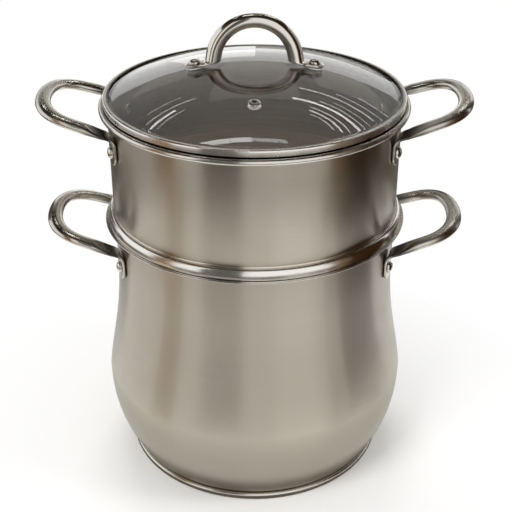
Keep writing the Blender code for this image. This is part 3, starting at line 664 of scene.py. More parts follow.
def glass_outline(sizes):
    radius, centre = dome_sizes(sizes)
    edge = GLASS_RADIUS - sizes.flat_edge
    top_edge = DOME_TOP - sizes.dome_rise
    inner = radius - sizes.glass
    steps = BELLY_STEPS
    over = arc((0.0, centre), radius, math.acos(edge / radius), math.pi / 2, steps)
    under = arc((0.0, centre), inner, math.pi / 2, math.asin((GLASS_BOTTOM - centre) / inner), steps)
    over[-1] = (0.0, DOME_TOP)
    under[0] = (0.0, centre + inner)
    rim = rounded([under[-1], (GLASS_RADIUS, GLASS_BOTTOM), (GLASS_RADIUS, top_edge), over[0]], GLASS_EDGE)
    return under[:-1] + rim + over[1:]


def band_outline(sizes, steamer):
    """A channel round the glass's edge, whose rounded corners leave a dark seam above and below."""
    inside = GLASS_RADIUS + SEAT_GAP
    bottom = RIM_TOP + SEAT_GAP
    lip = DOME_TOP - sizes.dome_rise + SEAT_GAP
    skirt = steamer.radius - steamer.sheet - SLIDING_GAP - sizes.band_sheet
    grip = GLASS_RADIUS - sizes.band_grip
    corners = [
        (skirt, bottom - sizes.band_skirt + sizes.band_sheet / 2),
        (skirt, bottom + sizes.band_sheet),
        (inside, bottom + sizes.band_sheet),
        (inside, lip),
        (grip + sizes.band_sheet / 2, lip),
    ]
    path = rounded(corners, sizes.band_corner - sizes.band_sheet)
    return sheet(path[::-1], sizes.band_sheet)


def dome_head(radius, base, height):
    """A domed head on a flat base, from its edge to its crown."""
    points = []
    for step in range(HEAD_STEPS + 1):
        turn = math.pi / 2 * step / HEAD_STEPS
        points.append((radius * math.cos(turn) ** HEAD_FULLNESS, base + height * math.sin(turn)))
    points[-1] = (0.0, base + height)
    return points


# Meshes


def as_object(name, bm):
    """An object at the origin with this mesh, linked to the scene."""
    mesh = bpy.data.meshes.new(name)
    bm.to_mesh(mesh)
    bm.free()
    made = bpy.data.objects.new(name, mesh)
    bpy.context.scene.collection.objects.link(made)
    return made


def smooth(mesh):
    """Smooth shading, with creases where the surface turns sharply."""
    mesh.shade_smooth()
    mesh.set_sharp_from_angle(angle=SHARP_ANGLE)


def finished(bm, name, finishes, zone=None):
    """The mesh as a smooth object. The zone names a face's finish from its centre and normal."""
    bmesh.ops.remove_doubles(bm, verts=bm.verts, dist=MERGE_DISTANCE)
    bmesh.ops.recalc_face_normals(bm, faces=bm.faces)
    if zone:
        for face in bm.faces:
            face.material_index = finishes.index(zone(face.calc_center_median(), face.normal))
    made = as_object(name, bm)
    for kind in finishes:
        made.data.materials.append(look(kind))
    smooth(made.data)
    return made


def spin(bm, geometry, steps, sweep=FULL_TURN):
    """Turns the geometry about the Z axis, closed where the turn is full."""
    closed = sweep == FULL_TURN
    about_z = {"cent": (0, 0, 0), "axis": (0, 0, 1), "angle": sweep}
    bmesh.ops.spin(bm, geom=geometry, steps=steps, use_merge=closed, **about_z)


def outline_mesh(outline, steps):
    """A solid turned about Z. An outline that starts on the axis stays open there."""
    bm = bmesh.new()
    corners = [bm.verts.new((radius, 0.0, height)) for radius, height in outline]
    for first, second in zip(corners, corners[1:]):
        bm.edges.new((first, second))
    if outline[0][0] > MERGE_DISTANCE:
        bm.edges.new((corners[-1], corners[0]))
    spin(bm, bm.verts[:] + bm.edges[:], steps)
    bmesh.ops.remove_doubles(bm, verts=bm.verts, dist=MERGE_DISTANCE)
    bmesh.ops.dissolve_degenerate(bm, dist=MERGE_DISTANCE, edges=bm.edges)
    return bm


def turned(name, outline, finishes, steps=TURN_STEPS, zone=None, place=None):
    """A turned piece, moved from the Z axis to the place if one is given."""
    bm = outline_mesh(outline, steps)
    if place:
        bmesh.ops.transform(bm, matrix=place, verts=bm.verts)
    return finished(bm, name, finishes, zone)


def reshaped(flat, exponent):
    """A point of the unit circle moved towards a rounded square, or back where the exponent is above 1."""
    return Vector([math.copysign(abs(part) ** exponent, part) for part in flat])


def section(centre, side, up):
    """The matrix that sets a unit circle at this place, with these two half axes."""
    turn = Matrix((side, up, side.cross(up).normalized())).transposed().to_4x4()
    return Matrix.Translation(centre) @ turn


def squared_to_path(stations):
    """(place, power) of each section square to a path, from its centre, across, half sizes and power."""
    made = []
    for index, (centre, across, half_width, half_thickness, power) in enumerate(stations):
        before = stations[max(index - 1, 0)][0]
        after = stations[min(index + 1, len(stations) - 1)][0]
        along = (after - before).normalized()
        side = (across - along * across.dot(along)).normalized()
        made.append((section(centre, side * half_width, along.cross(side) * half_thickness), power))
    return made


def swept(name, sections, finishes, place=None):
    """A closed tube: a ring of edges, extruded from each section to the next and set to its shape there."""
    bm = bmesh.new()
    ring = bmesh.ops.create_circle(bm, cap_ends=False, radius=1.0, segments=TUBE_POINTS)["verts"]
    edges = bm.edges[:]
    back, power_before = Matrix(), ROUND
    for index, (forth, power) in enumerate(sections):
        if index:
            grown = bmesh.ops.extrude_edge_only(bm, edges=edges)["geom"]
            ring = [item for item in grown if isinstance(item, bmesh.types.BMVert)]
            edges = [item for item in grown if isinstance(item, bmesh.types.BMEdge)]
            edges = [edge for edge in edges if edge.verts[0] in set(ring) and edge.verts[1] in set(ring)]
        for vert in ring:
            local = back @ vert.co
            flat = reshaped(reshaped(local.xy, power_before / 2), 2 / power)
            vert.co = forth @ Vector((flat.x, flat.y, 0.0))
        back, power_before = forth.inverted(), power
    bmesh.ops.holes_fill(bm, edges=[edge for edge in bm.edges if edge.is_boundary])
    if place:
        bmesh.ops.transform(bm, matrix=place, verts=bm.verts)
    return finished(bm, name, finishes)


def bored(piece, places, radius, bottom, top, sides=SMALL_TURN_STEPS):
    """Cuts a round hole along each place's Z axis, and keeps the cut mesh."""
    bm = bmesh.new()
    for place in places:
        centred = place @ Matrix.Translation((0, 0, (bottom + top) / 2))
        both = {"radius1": radius, "radius2": radius, "depth": top - bottom}
        bmesh.ops.create_cone(bm, cap_ends=True, segments=sides, matrix=centred, **both)
    drill = as_object("drill", bm)
    cut = piece.modifiers.new("Holes", "BOOLEAN")
    cut.operation = "DIFFERENCE"
    cut.solver = "EXACT"
    cut.object = drill
    bpy.context.view_layer.update()
    graph = bpy.context.evaluated_depsgraph_get()
    spent = (piece.data, drill.data)
    piece.data = bpy.data.meshes.new_from_object(piece.evaluated_get(graph))
    piece.data.name = piece.name
    piece.modifiers.clear()
    smooth(piece.data)
    bpy.data.objects.remove(drill)
    for mesh in spent:
        bpy.data.meshes.remove(mesh)


def placed(piece, body, slot, *nodes):
    """The piece moves with the body, and stands in for these solids."""
    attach(piece, body)
    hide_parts(*nodes)


def keep_node(name, kind):
    """A solid whose own shape shows, with a finer material."""
    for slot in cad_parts[name].material_slots:
        slot.material = look(kind)


# Places


def faces_in(centre, normal, sink=0.0):
    """Whether a face looks towards the axis. With a sink, one that looks straight up counts too."""
    return normal.dot(Vector((centre.x, centre.y, -sink))) < 0


def wall_place(turn, height):
    """Z points straight out of the wall at this angle round the axis."""
    round_axis = Matrix.Translation((0, 0, height)) @ Matrix.Rotation(turn, 4, "Z")
    return round_axis @ Matrix.Rotation(math.pi / 2, 4, "Y")


def dome_place(distance, heading, sizes):
    """The spot on the glass at this distance from the axis, with Z square to the glass."""
    radius, centre = dome_sizes(sizes)
    tilt = math.asin(distance / radius)
    lift = centre + math.sqrt(radius**2 - distance**2)
    spot = Matrix.Translation((distance * math.cos(heading), distance * math.sin(heading), lift))
    return spot @ Matrix.Rotation(heading, 4, "Z") @ Matrix.Rotation(tilt, 4, "Y")


def blend(first, second, part):
    return first + (second - first) * part


def eased(part):
    return part * part * (3 - 2 * part)


def bezier(points, steps):
    """Points on the curve with these control points, without its first."""
    made = []
    for step in range(1, steps + 1):
        level = list(points)
        while len(level) > 1:
            level = [blend(a, b, step / steps) for a, b in zip(level, level[1:])]
        made.append(level[0])
    return made


def tab_tip(tip, inward, across, tab):
    """Stations of a flat foot's half-round end, from its tip inwards."""
    stations = []
    for step in range(TAB_TIP_STEPS + 1):
        turn = math.pi / 2 * step / TAB_TIP_STEPS
        spot = tip + inward * tab[0] * (1 - math.cos(turn))
        width = max(math.sin(turn), TIP_WIDTH)
        rim = blend(TIP_THICKNESS, 1.0, min(step / TIP_THICKENING_STEPS, 1.0))
        stations.append((spot, across, tab[0] * width, tab[1] * rim, FLAT))
    return stations


def side_handle_sections(sizes, wall_radius, rivet_height):
    """One half of a side handle, from its foot's tip to the middle of the loop, then its mirror image."""
    tab_radius = wall_radius + SEAT_GAP + sizes.tab_thickness / 2
    turn = sizes.mount_angle
    outward = Vector((math.cos(turn), -math.sin(turn), 0.0))
    along_wall = Vector((math.sin(turn), math.cos(turn), 0.0))
    root = outward * tab_radius
    arm_height = rivet_height + sizes.rivet_dome_radius + sizes.bend
    loop_end = wall_radius + sizes.reach - sizes.tube_width / 2
    up = Vector((0.0, 0.0, 1.0))

    def at(flat, height):
        return Vector((flat.x, flat.y, height))

    def risen(flat):
        part = max(flat.x - root.x, 0.0) / (loop_end - root.x)
        return at(flat, arm_height + sizes.rise * part)

    corner = Vector((loop_end - sizes.end_length, sizes.tube_width / 2 - sizes.half_width, 0.0))
    heading = (corner - root).normalized()
    arm_across = Vector((-heading.y, heading.x, 0.0))
    tab = (sizes.tab_width / 2, sizes.tab_thickness / 2)
    tube = (sizes.tube_width / 2, sizes.tube_thickness / 2)
    stations = tab_tip(at(root, rivet_height - sizes.tab_drop), up, along_wall, tab)
    bend_start = at(root, arm_height - sizes.bend)
    stations.append((blend(stations[-1][0], bend_start, 0.5), along_wall, *tab, FLAT))
    stations.append((bend_start, along_wall, *tab, FLAT))
    bend_end = risen(root + heading * sizes.bend)
    for index, point in enumerate(bezier([bend_start, at(root, arm_height), bend_end], CURVE_STEPS)):
        part = (index + 1) / CURVE_STEPS
        across = blend(along_wall, arm_across, part * part)
        thick = tab[1] * blend(1.0, CRIMP_SWELL, part)
        stations.append((point, across, tab[0], thick, blend(FLAT, CRIMPED, part)))
    full = risen(root + heading * (sizes.bend + sizes.crimp))
    for index in range(1, CRIMP_STEPS + 1):
        part = index / CRIMP_STEPS
        ease = eased(part)
        width = blend(tab[0], tube[0], ease)
        thick = blend(tab[1] * CRIMP_SWELL, tube[1], ease)
        spot = blend(bend_end, full, part)
        stations.append((spot, arm_across, width, thick, blend(CRIMPED, ROUND, ease)))
    straight = risen(corner)
    for part in (0.25, 0.5, 0.75, 1.0):
        stations.append((blend(full, straight, part), arm_across, *tube, ROUND))
    round_end = sizes.end_length * sizes.end_roundness
    towards_middle = Vector((loop_end, corner.y * sizes.end_roundness, 0.0))
    middle = Vector((loop_end, 0.0, 0.0))
    curve = [corner, corner + heading * round_end, towards_middle, middle]
    points = bezier(curve, LOOP_END_STEPS)
    for before, point in zip([corner, *points], points):
        forward = (point - before).normalized()
        stations.append((risen(point), Vector((-forward.y, forward.x, 0.0)), *tube, ROUND))
    stations[-1] = (stations[-1][0], Vector((-1.0, 0.0, 0.0)), *tube, ROUND)
    flip = Matrix.Diagonal((1.0, -1.0, 1.0))
    mirrored = [(flip @ centre, flip @ across, *rest) for centre, across, *rest in stations[:-1]]
    return squared_to_path(stations + mirrored[::-1])


def arch_sections(sizes, lid):
    """The lid handle, from its left foot's tip, round its heel and up to its top, then its mirror image."""
    across = Vector((0.0, 1.0, 0.0))
    seat = dome_place(sizes.radius + sizes.foot_reach, math.pi, lid)
    lift = SEAT_GAP + sizes.gasket_thickness + SEAT_GAP + sizes.tab_thickness / 2
    centre = Vector((0.0, 0.0, ARCH_TOP - sizes.crown_radius - sizes.radius))
    tab = (sizes.tab_width / 2, sizes.tab_thickness / 2)
    tab_up = (seat.to_3x3() @ Vector((0.0, 0.0, 1.0))).normalized()

    def on_tab(offset):
        return seat @ Vector((offset, 0.0, lift))

    inward = (on_tab(0.0) - on_tab(sizes.tab_overhang)).normalized()
    tip = tab_tip(on_tab(sizes.tab_overhang), inward, across, tab)
    parts = [(spot, side * width, tab_up * thick, power) for spot, side, width, thick, power in tip]
    # The heel fans round a pivot just outside the leg and above the foot.
    pivot_x = -sizes.radius - sizes.leg_radius - sizes.heel_fillet
    along_tab = (pivot_x - on_tab(0.0).x) / inward.x
    pivot = on_tab(0.0) + inward * along_tab + tab_up * (tab[1] + sizes.heel_fillet)
    tilt = math.atan2(tab_up.z, -tab_up.x)
    for step in range(HEEL_STEPS + 1):
        part = step / HEEL_STEPS
        turn = tilt * (1 - part)
        up = Vector((-math.cos(turn), 0.0, math.sin(turn)))
        squeeze = math.sin(turn) / math.sin(tilt) / tab[1]
        inverse = sizes.leg_radius**-sizes.heel_roundness + squeeze**sizes.heel_roundness
        half = inverse ** (-1 / sizes.heel_roundness)
        width = blend(tab[0], sizes.leg_radius, part)
        spot = pivot - up * (sizes.heel_fillet + half)
        parts.append((spot, across * width, up * half, blend(FLAT, ROUND, eased(part))))
    for step in range(ARCH_STEPS + 1):
        turn = blend(sizes.leg_start, math.pi / 2, step / ARCH_STEPS)
        radius = blend(sizes.leg_radius, sizes.crown_radius, math.sin(turn) ** 2)
        up = Vector((-math.cos(turn), 0.0, math.sin(turn)))
        parts.append((centre + up * sizes.radius, across * radius, up * radius, ROUND))
    flip = Matrix.Diagonal((-1.0, 1.0, 1.0))
    parts += [(flip @ spot, side, flip @ up, power) for spot, side, up, power in parts[-2::-1]]
    return [(section(spot, side, up), power) for spot, side, up, power in parts]


# Pieces, one operator each


class COUSCOUSSIER_OT_pot_body(bpy.types.Operator):
    """Spins the bellied pot with its flared lip"""

    bl_idname = "couscoussier.pot_body"
    bl_label = "Pot body"

    def execute(self, context):
        sizes = context.scene.pot_sizes
        lip = POT_LIP - sizes.lip_bend - sizes.sheet

        def zone(centre, normal):
            if centre.z > lip:
                return "rim_steel"
            return "inner_steel" if faces_in(centre, normal, sizes.sheet) else "wall_steel"

        finishes = ["wall_steel", "rim_steel", "inner_steel"]
        piece = turned("pot_shell", pot_outline(sizes), finishes, zone=zone)
        placed(piece, "pot", "satin_steel", "pot_body")
        return {"FINISHED"}


class COUSCOUSSIER_OT_pot_base(bpy.types.Operator):
    """Spins the base's steel cap round its plate"""

    bl_idname = "couscoussier.pot_base"
    bl_label = "Pot base"

    def execute(self, context):
        sizes = context.scene.pot_sizes

        def zone(centre, normal):
            underside = normal.z < -0.5 and centre.z < sizes.cap_sheet
            return "wall_steel" if underside else "rim_steel"

        piece = turned("base_cap", base_cap_outline(sizes), ["wall_steel", "rim_steel"], zone=zone)
        placed(piece, "pot", "polished_steel", "pot_base_cap")
        keep_node("pot_base_core", "core_aluminium")
        return {"FINISHED"}


def rivet_outline(sizes, wall_radius, sheet_thickness):
    """From the flat head inside the wall, out along the shank, to the dome on the handle's foot."""
    inner_face = wall_radius - sheet_thickness - SEAT_GAP
    inner_end = inner_face - sizes.rivet_inner_thickness
    tab_face = wall_radius + SEAT_GAP + sizes.tab_thickness + SEAT_GAP
    corners = [
        (0.0, inner_end),
        (sizes.rivet_inner_radius, inner_end),
        (sizes.rivet_inner_radius, inner_face),
        (sizes.rivet_radius, inner_face),
    ]
    outline = rounded(corners, sizes.rivet_inner_thickness / 3)
    outline.append((sizes.rivet_radius, tab_face))
    return outline + dome_head(sizes.rivet_dome_radius, tab_face, sizes.rivet_dome_height)


def make_side_handles(scene, body, wall_radius, sheet_thickness, rivet_height):
    """Both loops of the pot or of the steamer, each with a rivet through either foot."""
    sizes = scene.handle_sizes
    sections = side_handle_sections(sizes, wall_radius, rivet_height)
    outline = rivet_outline(sizes, wall_radius, sheet_thickness)
    for side, turn in (("right", 0.0), ("left", math.pi)):
        loop = swept(f"{body}_loop_{side}", sections, ["handle_steel"], Matrix.Rotation(turn, 4, "Z"))
        placed(loop, body, "polished_steel", f"{body}_handle_{side}")
        for offset in (-sizes.mount_angle, sizes.mount_angle):
            heading = turn + offset
            where = "front" if math.sin(heading) < 0 else "back"
            name = f"{body}_rivet_head_{side}_{where}"
            place = wall_place(heading, rivet_height)
            rivet = turned(name, outline, ["bright_steel"], SMALL_TURN_STEPS, place=place)
            placed(rivet, body, "polished_steel", f"{body}_rivet_{side}_{where}")


class COUSCOUSSIER_OT_pot_handles(bpy.types.Operator):
    """Sweeps the pot's two loop handles and turns their rivets"""

    bl_idname = "couscoussier.pot_handles"
    bl_label = "Pot handles"

    def execute(self, context):
        scene = context.scene
        pot = scene.pot_sizes
        drop = scene.handle_sizes.pot_rivet_drop
        make_side_handles(scene, "pot", pot.neck_radius, pot.sheet, POT_LIP - drop)
        return {"FINISHED"}


class COUSCOUSSIER_OT_steamer_body(bpy.types.Operator):
    """Spins the steamer's wall with its skirt, bead and rolled rim"""

    bl_idname = "couscoussier.steamer_body"
    bl_label = "Steamer body"

    def execute(self, context):
        scene = context.scene
        sizes = scene.steamer_sizes
        bead_top = POT_LIP + SEAT_GAP + sizes.bead_height * ABOVE_BEAD
        rim_foot = RIM_TOP - sizes.rim_bend - sizes.sheet * 2

        def zone(centre, normal):
            if centre.z < bead_top:
                return "bead_steel"
            if centre.z > rim_foot:
                return "seat_steel"
            return "inner_steel" if faces_in(centre, normal) else "wall_steel"

        finishes = ["wall_steel", "seat_steel", "inner_steel", "bead_steel"]
        piece = turned("steamer_shell", steamer_outline(sizes, scene.pot_sizes), finishes, zone=zone)
        placed(piece, "steamer", "satin_steel", "steamer_body")
        return {"FINISHED"}


class COUSCOUSSIER_OT_steamer_floor(bpy.types.Operator):
    """Spins the steamer's floor and bores its steam holes"""

    bl_idname = "couscoussier.steamer_floor"
    bl_label = "Steamer floor"

    def execute(self, context):
        sizes = context.scene.steamer_sizes
        piece = turned("steamer_plate", steamer_floor_outline(sizes), ["inner_steel"])
        places = [Matrix()]
        for ring in range(1, sizes.hole_rings + 1):
            holes = FIRST_RING_HOLES * ring
            for step in range(holes):
                turn = FULL_TURN * step / holes
                spot = sizes.hole_pitch * ring * Vector((math.cos(turn), math.sin(turn), 0.0))
                places.append(Matrix.Translation(spot))
        top = POT_LIP + SEAT_GAP + sizes.sheet + SEAT_GAP + sizes.floor_height
        bored(piece, places, sizes.hole_radius, top - DRILL_REACH, top + DRILL_REACH, HOLE_SIDES)
        placed(piece, "steamer", "satin_steel", "steamer_floor")
        return {"FINISHED"}


class COUSCOUSSIER_OT_steamer_handles(bpy.types.Operator):
    """Sweeps the steamer's two loop handles and turns their rivets"""

    bl_idname = "couscoussier.steamer_handles"
    bl_label = "Steamer handles"

    def execute(self, context):
        scene = context.scene
        sizes = scene.steamer_sizes
        drop = scene.handle_sizes.steamer_rivet_drop
        make_side_handles(scene, "steamer", sizes.radius, sizes.sheet, RIM_TOP - drop)
        return {"FINISHED"}


class COUSCOUSSIER_OT_lid_glass(bpy.types.Operator):
    """Spins the glass dome and bores its holes"""

    bl_idname = "couscoussier.lid_glass"
    bl_label = "Lid glass"

    def execute(self, context):
        scene = context.scene
        sizes = scene.lid_sizes
        arch = scene.arch_sizes
        piece = turned("glass_dome", glass_outline(sizes), ["lid_glass_finish"])
        screw = arch.radius + arch.foot_reach
        places = [dome_place(screw, heading, sizes) for heading in (0.0, math.pi)]
        bored(piece, places, arch.screw_radius + arch.screw_play, -sizes.glass * 2, sizes.glass)
        vent = dome_place(sizes.vent_distance, -math.pi / 2, sizes)
        bored(piece, [vent], sizes.vent_tube + SEAT_GAP, -sizes.glass * 2, sizes.glass)
        placed(piece, "lid", "glass", "lid_glass")
        return {"FINISHED"}


class COUSCOUSSIER_OT_lid_band(bpy.types.Operator):
    """Spins the steel band on the glass's edge"""

    bl_idname = "couscoussier.lid_band"
    bl_label = "Lid band"

    def execute(self, context):
        scene = context.scene
        outline = band_outline(scene.lid_sizes, scene.steamer_sizes)
        placed(turned("glass_band", outline, ["band_steel"]), "lid", "polished_steel", "lid_rim_band")
        return {"FINISHED"}


class COUSCOUSSIER_OT_lid_vent(bpy.types.Operator):
    """Spins the flanged steam vent"""

    bl_idname = "couscoussier.lid_vent"
    bl_label = "Lid vent"

    def execute(self, context):
        sizes = context.scene.lid_sizes
        bore, tube, flange = sizes.vent_bore, sizes.vent_tube, sizes.vent_flange
        thickness = sizes.vent_flange_thickness
        top = SEAT_GAP + thickness
        under = -sizes.glass - FLANGE_GAP
        corners = [
            (bore, under - thickness / 2),
            (bore, under - thickness),
            (flange, under - thickness),
            (flange, under),
            (tube, under),
            (tube, SEAT_GAP),
            (flange, SEAT_GAP),
            (tube, top),
            (bore, top),
            (bore, top - thickness / 2),
        ]
        outline = rounded(corners, thickness / 2)
        place = dome_place(sizes.vent_distance, -math.pi / 2, sizes)
        bore_edge = bore * ROUND_BORE

        def zone(centre, normal):
            distance = math.hypot(centre.x, centre.y + sizes.vent_distance)
            return "inner_steel" if distance < bore_edge else "vent_steel"

        finishes = ["vent_steel", "inner_steel"]
        piece = turned("vent_ring", outline, finishes, SMALL_TURN_STEPS, zone, place)
        placed(piece, "lid", "polished_steel", "vent_eyelet")
        return {"FINISHED"}


class COUSCOUSSIER_OT_lid_handle(bpy.types.Operator):
    """Sweeps the arched handle with its flattened feet"""

    bl_idname = "couscoussier.lid_handle"
    bl_label = "Lid handle"

    def execute(self, context):
        scene = context.scene
        sections = arch_sections(scene.arch_sizes, scene.lid_sizes)
        placed(swept("arch", sections, ["bright_steel"]), "lid", "polished_steel", "lid_handle")
        return {"FINISHED"}


class COUSCOUSSIER_OT_lid_fasteners(bpy.types.Operator):
    """Turns the screws, washers and nuts of the lid's handle"""

    bl_idname = "couscoussier.lid_fasteners"
    bl_label = "Lid fasteners"

    def execute(self, context):
        scene = context.scene
        sizes = scene.arch_sizes
        lid = scene.lid_sizes
        bore = sizes.screw_radius + sizes.screw_play
        tab_top = SEAT_GAP + sizes.gasket_thickness + SEAT_GAP + sizes.tab_thickness
        washer_top = -lid.glass - WASHER_GAP
        nut_top = washer_top - sizes.gasket_thickness - SEAT_GAP
        end = nut_top - sizes.nut_height - sizes.screw_end
        head = tab_top + SEAT_GAP
        screw = [(0.0, end), (sizes.screw_radius, end), (sizes.screw_radius, head)]
        screw += dome_head(sizes.head_radius, head, sizes.head_height)
        corner = sizes.gasket_thickness / 3

        def ring(radius, bottom, top):
            middle = (bottom + top) / 2
            points = [(bore, middle), (bore, bottom), (radius, bottom), (radius, top), (bore, top)]
            return rounded(points, corner)

        upper = ring(sizes.gasket_radius, SEAT_GAP, SEAT_GAP + sizes.gasket_thickness)
        lower = ring(sizes.gasket_radius, washer_top - sizes.gasket_thickness, washer_top)
        nut = ring(sizes.nut_radius, nut_top - sizes.nut_height, nut_top)
        steel = ("bright_steel", "polished_steel")
        soft = ("washer_silicone", "silicone")
        parts = {
            "lid_screw": (screw, SMALL_TURN_STEPS, "lid_screw", *steel),
            "upper_washer": (upper, SMALL_TURN_STEPS, "outer_gasket", *soft),
            "lower_washer": (lower, SMALL_TURN_STEPS, "inner_gasket", *soft),
            "nut": (nut, NUT_SIDES, "lid_nut", *steel),
        }
        for side, heading in (("right", 0.0), ("left", math.pi)):
            place = dome_place(sizes.radius + sizes.foot_reach, heading, lid)
            for name, (outline, steps, node, finish, slot) in parts.items():
                piece = turned(f"{name}_{side}_piece", outline, [finish], steps, place=place)
                placed(piece, "lid", slot, f"{node}_{side}")
        return {"FINISHED"}


# Stage


def area_light(name, place, target_height, size, power):
    """A soft lamp that faces the pot and doesn't show in reflections."""
    data = bpy.data.lights.new(name, "AREA")
    data.shape = "RECTANGLE"
    data.size, data.size_y = size
    data.energy = power
    data.color = LAMP_WHITE
    lamp = bpy.data.objects.new(name, data)
    lamp.visible_glossy = False
    lamp.visible_transmission = False
    lamp.location = place
    towards = Vector((0.0, 0.0, target_height)) - Vector(place)
    lamp.rotation_euler = towards.to_track_quat("-Z", "Y").to_euler()
    bpy.context.scene.collection.objects.link(lamp)


def card(name, bm, shade, strength=1.0):
    """A card that shows only in reflections."""
    made = as_object(name, bm)
    finish = Finish(name + "_paint")
    finish.set(Base_Color=(0.0, 0.0, 0.0, 1.0), Roughness=1.0, Specular_IOR_Level=0.0)
    made.data.materials.append(finish.set(Emission_Color=(*shade, 1.0), Emission_Strength=strength))
    made.visible_camera = False
    made.visible_diffuse = False
    made.visible_shadow = False
    made.visible_transmission = False


def flat_card(place, size):
    """A rectangle in the place's XY plane."""
    bm = bmesh.new()
    bmesh.ops.create_grid(bm, x_segments=1, y_segments=1, size=0.5)
    bmesh.ops.transform(bm, matrix=place @ Matrix.Diagonal((*size, 1.0, 1.0)), verts=bm.verts)
    return bm


def ring_card(inner, outer, height, sweep=FULL_TURN):
    """A flat ring round the Z axis, or part of one."""
    bm = bmesh.new()
    start = bm.edges.new([bm.verts.new((radius, 0.0, height)) for radius in (inner, outer)])
    spin(bm, [start, *start.verts], CARD_STEPS, sweep)
    return bm


def arc_card(centre, radius, width, start, end):
    """Part of a flat ring, from one heading to another in degrees."""
    bm = ring_card(radius - width / 2, radius + width / 2, 0.0, math.radians(end - start))
    place = Matrix.Translation(centre) @ Matrix.Rotation(math.radians(start), 4, "Z")
    bmesh.ops.transform(bm, matrix=place, verts=bm.verts)
    return bm


def standing(heading, distance, middle):
    """A place round the pot, facing it. The heading is in degrees from the front towards +X."""
    stand = Matrix.Translation((0.0, -distance, middle)) @ Matrix.Rotation(math.pi / 2, 4, "X")
    return Matrix.Rotation(math.radians(heading), 4, "Z") @ stand


def make_cards():
    """Everything that is reflected: dark flags in the walls, and dark and bright cards in the glass."""
    flags = {
        "right_flag_tan": (53.7, 0.318, 0.075, (0.06, 0.80), (0.13, 0.078, 0.036)),
        "right_flag": (77.5, 0.30, 0.186, (0.03, 0.80), (0.026, 0.010, 0.001)),
        "right_edge_flag": (110.5, 0.35, 0.115, (0.05, 0.60), (0.06, 0.05, 0.04)),
        "left_flag": (-20.0, 0.34, 0.155, (0.11, 0.80), (0.11, 0.105, 0.095)),
        "left_flag_low": (-22.0, 0.34, 0.17, (0.03, 0.11), (0.42, 0.40, 0.36)),
        "left_strip": (-58.5, 0.32, 0.085, (0.14, 0.80), (0.22, 0.13, 0.06)),
        "left_strip_low": (-58.5, 0.32, 0.085, (0.0, 0.14), (0.52, 0.43, 0.33)),
        "rear_left_flag": (-122.0, 0.36, 0.14, (0.0, 0.33), (0.08, 0.07, 0.06)),
        "rear_right_flag": (160.0, 0.36, 0.26, (0.0, 0.33), (0.05, 0.045, 0.04)),
    }
    for name, (heading, distance, width, (foot, top), shade) in flags.items():
        place = standing(heading, distance, (foot + top) / 2)
        card(name, flat_card(place, (width, top - foot)), shade)
    rings = {
        "floor_ring": (0.48, 0.82, 0.002, (0.16, 0.145, 0.12)),
        "floor_ring_far": (0.82, 1.15, 0.002, (0.42, 0.40, 0.36)),
        "base_ring": (0.107, 0.120, 0.0006, (0.13, 0.12, 0.105)),
        "floor_ring_near": (0.120, 0.200, 0.0006, (0.70, 0.70, 0.68)),
    }
    for name, (*ring, shade) in rings.items():
        card(name, ring_card(*ring), shade)
    glow = Matrix.Rotation(math.radians(28.0), 4, "Z") @ Matrix.Translation((0.0, -0.35, 0.0012))
    card("floor_glow", flat_card(glow, (0.17, 0.22)), (1.18, 1.18, 1.18))
    level = {
        "floor_behind": ((0.0, 1.75, 0.002), (3.2, 1.5), (0.05, 0.04, 0.03), 1.0),
        "ceiling": ((0.0, 1.5, 1.50), (3.4, 4.6), (0.032, 0.026, 0.019), 1.0),
        "ceiling_middle": ((0.0, 2.45, 1.47), (0.62, 2.7), (0.42, 0.40, 0.35), 1.0),
        "ceiling_right": ((0.86, 2.75, 1.47), (0.72, 1.9), (0.38, 0.36, 0.32), 1.0),
        "ceiling_left": ((-0.76, 3.10, 1.47), (0.88, 1.4), (0.26, 0.24, 0.21), 1.0),
        "strip_front": ((-0.20, 0.405, STRIP_HEIGHT), (0.36, 0.055), STRIP_WHITE, 7.0),
        "strip_front_right": ((0.09, 0.40, STRIP_HEIGHT), (0.22, 0.040), STRIP_WHITE, 4.0),
        "strip_front_near": ((-0.14, 0.315, STRIP_HEIGHT), (0.22, 0.022), STRIP_WHITE, 5.0),
    }
    for name, (centre, size, shade, strength) in level.items():
        card(name, flat_card(Matrix.Translation(centre), size), shade, strength)
    # Each row is the middle's X, then the radius, width, first and last heading, and strength.
    arcs = (
        (0.25, 0.28, 0.014, 20.0, 66.0, 5.0),
        (0.25, 0.345, 0.022, 18.0, 72.0, 7.0),
        (0.25, 0.42, 0.016, 22.0, 74.0, 6.0),
        (0.25, 0.54, 0.040, 26.0, 90.0, 7.5),
        (0.25, 0.63, 0.016, 28.0, 72.0, 5.0),
        (0.25, 0.74, 0.018, 30.0, 66.0, 3.0),
        (0.25, 0.90, 0.036, 44.0, 86.0, 4.0),
        (0.25, 1.08, 0.024, 38.0, 70.0, 3.5),
        (0.25, 1.35, 0.036, 44.0, 64.0, 3.0),
        (-0.25, 0.47, 0.014, 118.0, 152.0, 4.0),
        (-0.25, 0.55, 0.036, 122.0, 150.0, 7.5),
        (-0.25, 0.66, 0.018, 104.0, 142.0, 4.0),
        (-0.25, 0.84, 0.020, 110.0, 130.0, 3.0),
    )
    for index, (middle, *arc_sizes, strength) in enumerate(arcs):
        made = arc_card((middle, ARC_DISTANCE, STRIP_HEIGHT), *arc_sizes)
        card(f"arc_{index}", made, STRIP_WHITE, strength)
    behind = Matrix.Translation((-0.45, 5.0, 0.9)) @ Matrix.Rotation(math.pi / 2, 4, "X")
    card("strip_behind", flat_card(behind, (0.9, 0.9)), STRIP_WHITE, 1.9)


